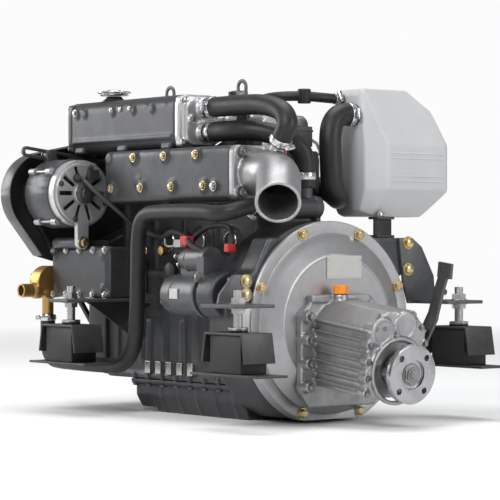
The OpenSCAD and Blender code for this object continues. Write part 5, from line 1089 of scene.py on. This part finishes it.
satin_black = surface("satin_black", "black_paint", (0.014, 0.014, 0.015), (0.024, 0.024, 0.025), 0.0, 0.38,
                      0.06, 420, 0.25, 0.0003, (0.12, 0.12, 0.12), 0.7, specular=0.4)
dress("silencer_bracket", "silencer_bracket_steel", satin_black, edge=0.9)

# Intake manifold: a cast aluminium plenum with four branches and their flanges on the head.
plenum = cad_form("intake_manifold")
for x in CYLINDERS:
    slab(plenum, (x - 22, 75, 304), (x + 22, 82, 338))
turned(plenum, [(0, 0), (0, 19), (4, 21), (6, 21), (6, 0)], (-690, 97, 318), AFT, 40)
fit(plenum, "intake_manifold_casting", cast_silver, ["intake_manifold"], cast=2.0)
flange_bolts = [((x + side * 17, 82, 312), STARBOARD, 5.5) for x in CYLINDERS for side in (-1, 1)]
bolt_set("intake_bolts", zinc_bright, flange_bolts)

# Injection pump: a cast body with its governor, delivery valves in a row and a control rack
# worked by two gold-zinc levers.
feed = cad_form("injection_pump")
for x in (-735, -700, -665, -630):
    slab(feed, (x, 148, 156), (x + 6, 152, 210))
bar(feed, (-594, 149, 206), 4 * STARBOARD, 12)
bar(feed, (-633, 149, 180), 4 * STARBOARD, 10)
bar(feed, (-600, 128, 160), 32 * AFT, 14)
fit(feed, "injection_pump_casting", starter_grey, ["injection_pump"], cast=1.7)
valves = bmesh.new()
for k in range(4):
    x = -745 + (k + 1) * 26
    bar(valves, (x, 128, 214), 8 * UP, 8.5, sides=6)
    bar(valves, (x, 128, 222), 9 * UP, 6)
    bar(valves, (x, 128, 231), 7 * UP, 6.5, sides=6)
for x in (-738, -580):
    bolt(valves, (x, 149.2, 190), STARBOARD, 5.5)
fit(valves, "delivery_valves", zinc_bright, edge=0.4, steps=1)
for node, arm in (("throttle_lever", "throttle_arm"), ("stop_lever", "stop_arm")):
    dress(node, node + "_plate", zinc_yellow, body=arm, edge=0.6)
dress("injector_lines", "injector_line_steel", zinc_bright, crease=60)
line_nuts = bmesh.new()
for x in CYLINDERS:
    bar(line_nuts, (x, 64, 388), 12 * UP, 8.5, sides=6)
    bar(line_nuts, (x, 64, 385), 5 * UP, 11)
fit(line_nuts, "injector_nuts", dull_steel, slot="bright_steel", edge=0.4, steps=1)

# Service filters: a spin-on oil filter and the fuel filter under its cast head.
filter_white = surface("filter_white", "filter_paint", (0.62, 0.6, 0.54), (0.5, 0.485, 0.44), 0.0, 0.34,
                       0.06, 260, 0.12, 0.0001)
filters = bmesh.new()
turned(filters, [(0, 0), (0, 30), (4, 36.6), (8, 37), (70, 37), (84, 35), (90, 29), (92, 18), (92, 0)],
       (-454, 105, 46), STARBOARD, 64)
turned(filters, [(0, 0), (0, 18), (3, 26), (8, 29.6), (12, 30), (78, 30), (80, 31), (84, 31), (84, 0)],
       (-478, 142, 188), UP, 56)
fit(filters, "filter_cans", filter_white, edge=0.6)
dress("service_filters", "filter_head_castings", cast_silver, slot="filter_paint", edge=1.0)

# Feet: bent and welded black brackets, black sheet covers over rubber blocks, and bright studs
# with their nuts, on flat base plates with a slot at each end.
dress("foot_brackets", "foot_bracket_steel", casting_grey, edge=1.0)
dress("foot_bases", "foot_base_plates", satin_black, edge=0.9)
dress("foot_covers", "foot_cover_sheets", satin_black, edge=1.4, steps=3, crease=40)
dress("foot_rubbers", "foot_rubber_blocks", hose_black, slot="foot_rubber", edge=1.6, steps=3)
stud_steel = surface("stud_steel", "bright_steel", (0.58, 0.57, 0.55), (0.42, 0.41, 0.4), 1.0, 0.3, 0.08,
                     340, 0.15)
FEET = [(x, side * 248) for x in (-155, -655) for side in (-1, 1)]
studs = bmesh.new()
for x, y in FEET:
    bar(studs, (x, y, 68), 73.5 * UP, 7.6, sides=36)
    for k in range(40):
        turned(studs, [(0, 7.5), (0.45, 8), (0.9, 7.5)], (x, y, 82 + k * 1.46), UP, 24, closed=True)
    for z in (110.4, 118):
        turned(studs, [(0, 8), (0, 15), (1.6, 15), (1.6, 8)], (x, y, z), UP, 40, closed=True)
    bar(studs, (x, y, 103), 7.4 * UP, 13, sides=6)
    bar(studs, (x, y, 119.6), 9.4 * UP, 13, sides=6)
    turned(studs, [(0, 8), (0, 16), (3, 17), (8, 17), (8, 8)], (x, y, 72), UP, 48, closed=True)
fit(studs, "foot_studs_turned", stud_steel, ["foot_studs"], edge=0.35, steps=1)
arm_bolts = [((BELL_FACE, y, z), AFT, 9, 7) for y, z in ((-187, 132), (-187, 155), (178, 173), (178, 220))]
arm_bolts += [((x, side * 111, 66), (0, side, 0), 8, 7) for side in (-1, 1) for x in (-675, -635)]
bolt_set("foot_bracket_bolts", zinc_yellow, arm_bolts, edge=0.5)

# Inside: crankshaft, pistons, flywheel and gear shafts are machined steel, seen only through
# the openings, so they keep their CAD shape and take their materials here.
machined = surface("machined_steel", "bright_steel", (0.5, 0.5, 0.51), (0.38, 0.38, 0.39), 1.0, 0.32, 0.06,
                   300, 0.15)
for node in ("crankshaft", "pistons", "flywheel", "gearbox_input_shaft", "output_shaft"):
    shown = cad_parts[node]
    shown.data.materials.clear()
    shown.data.materials.append(machined)
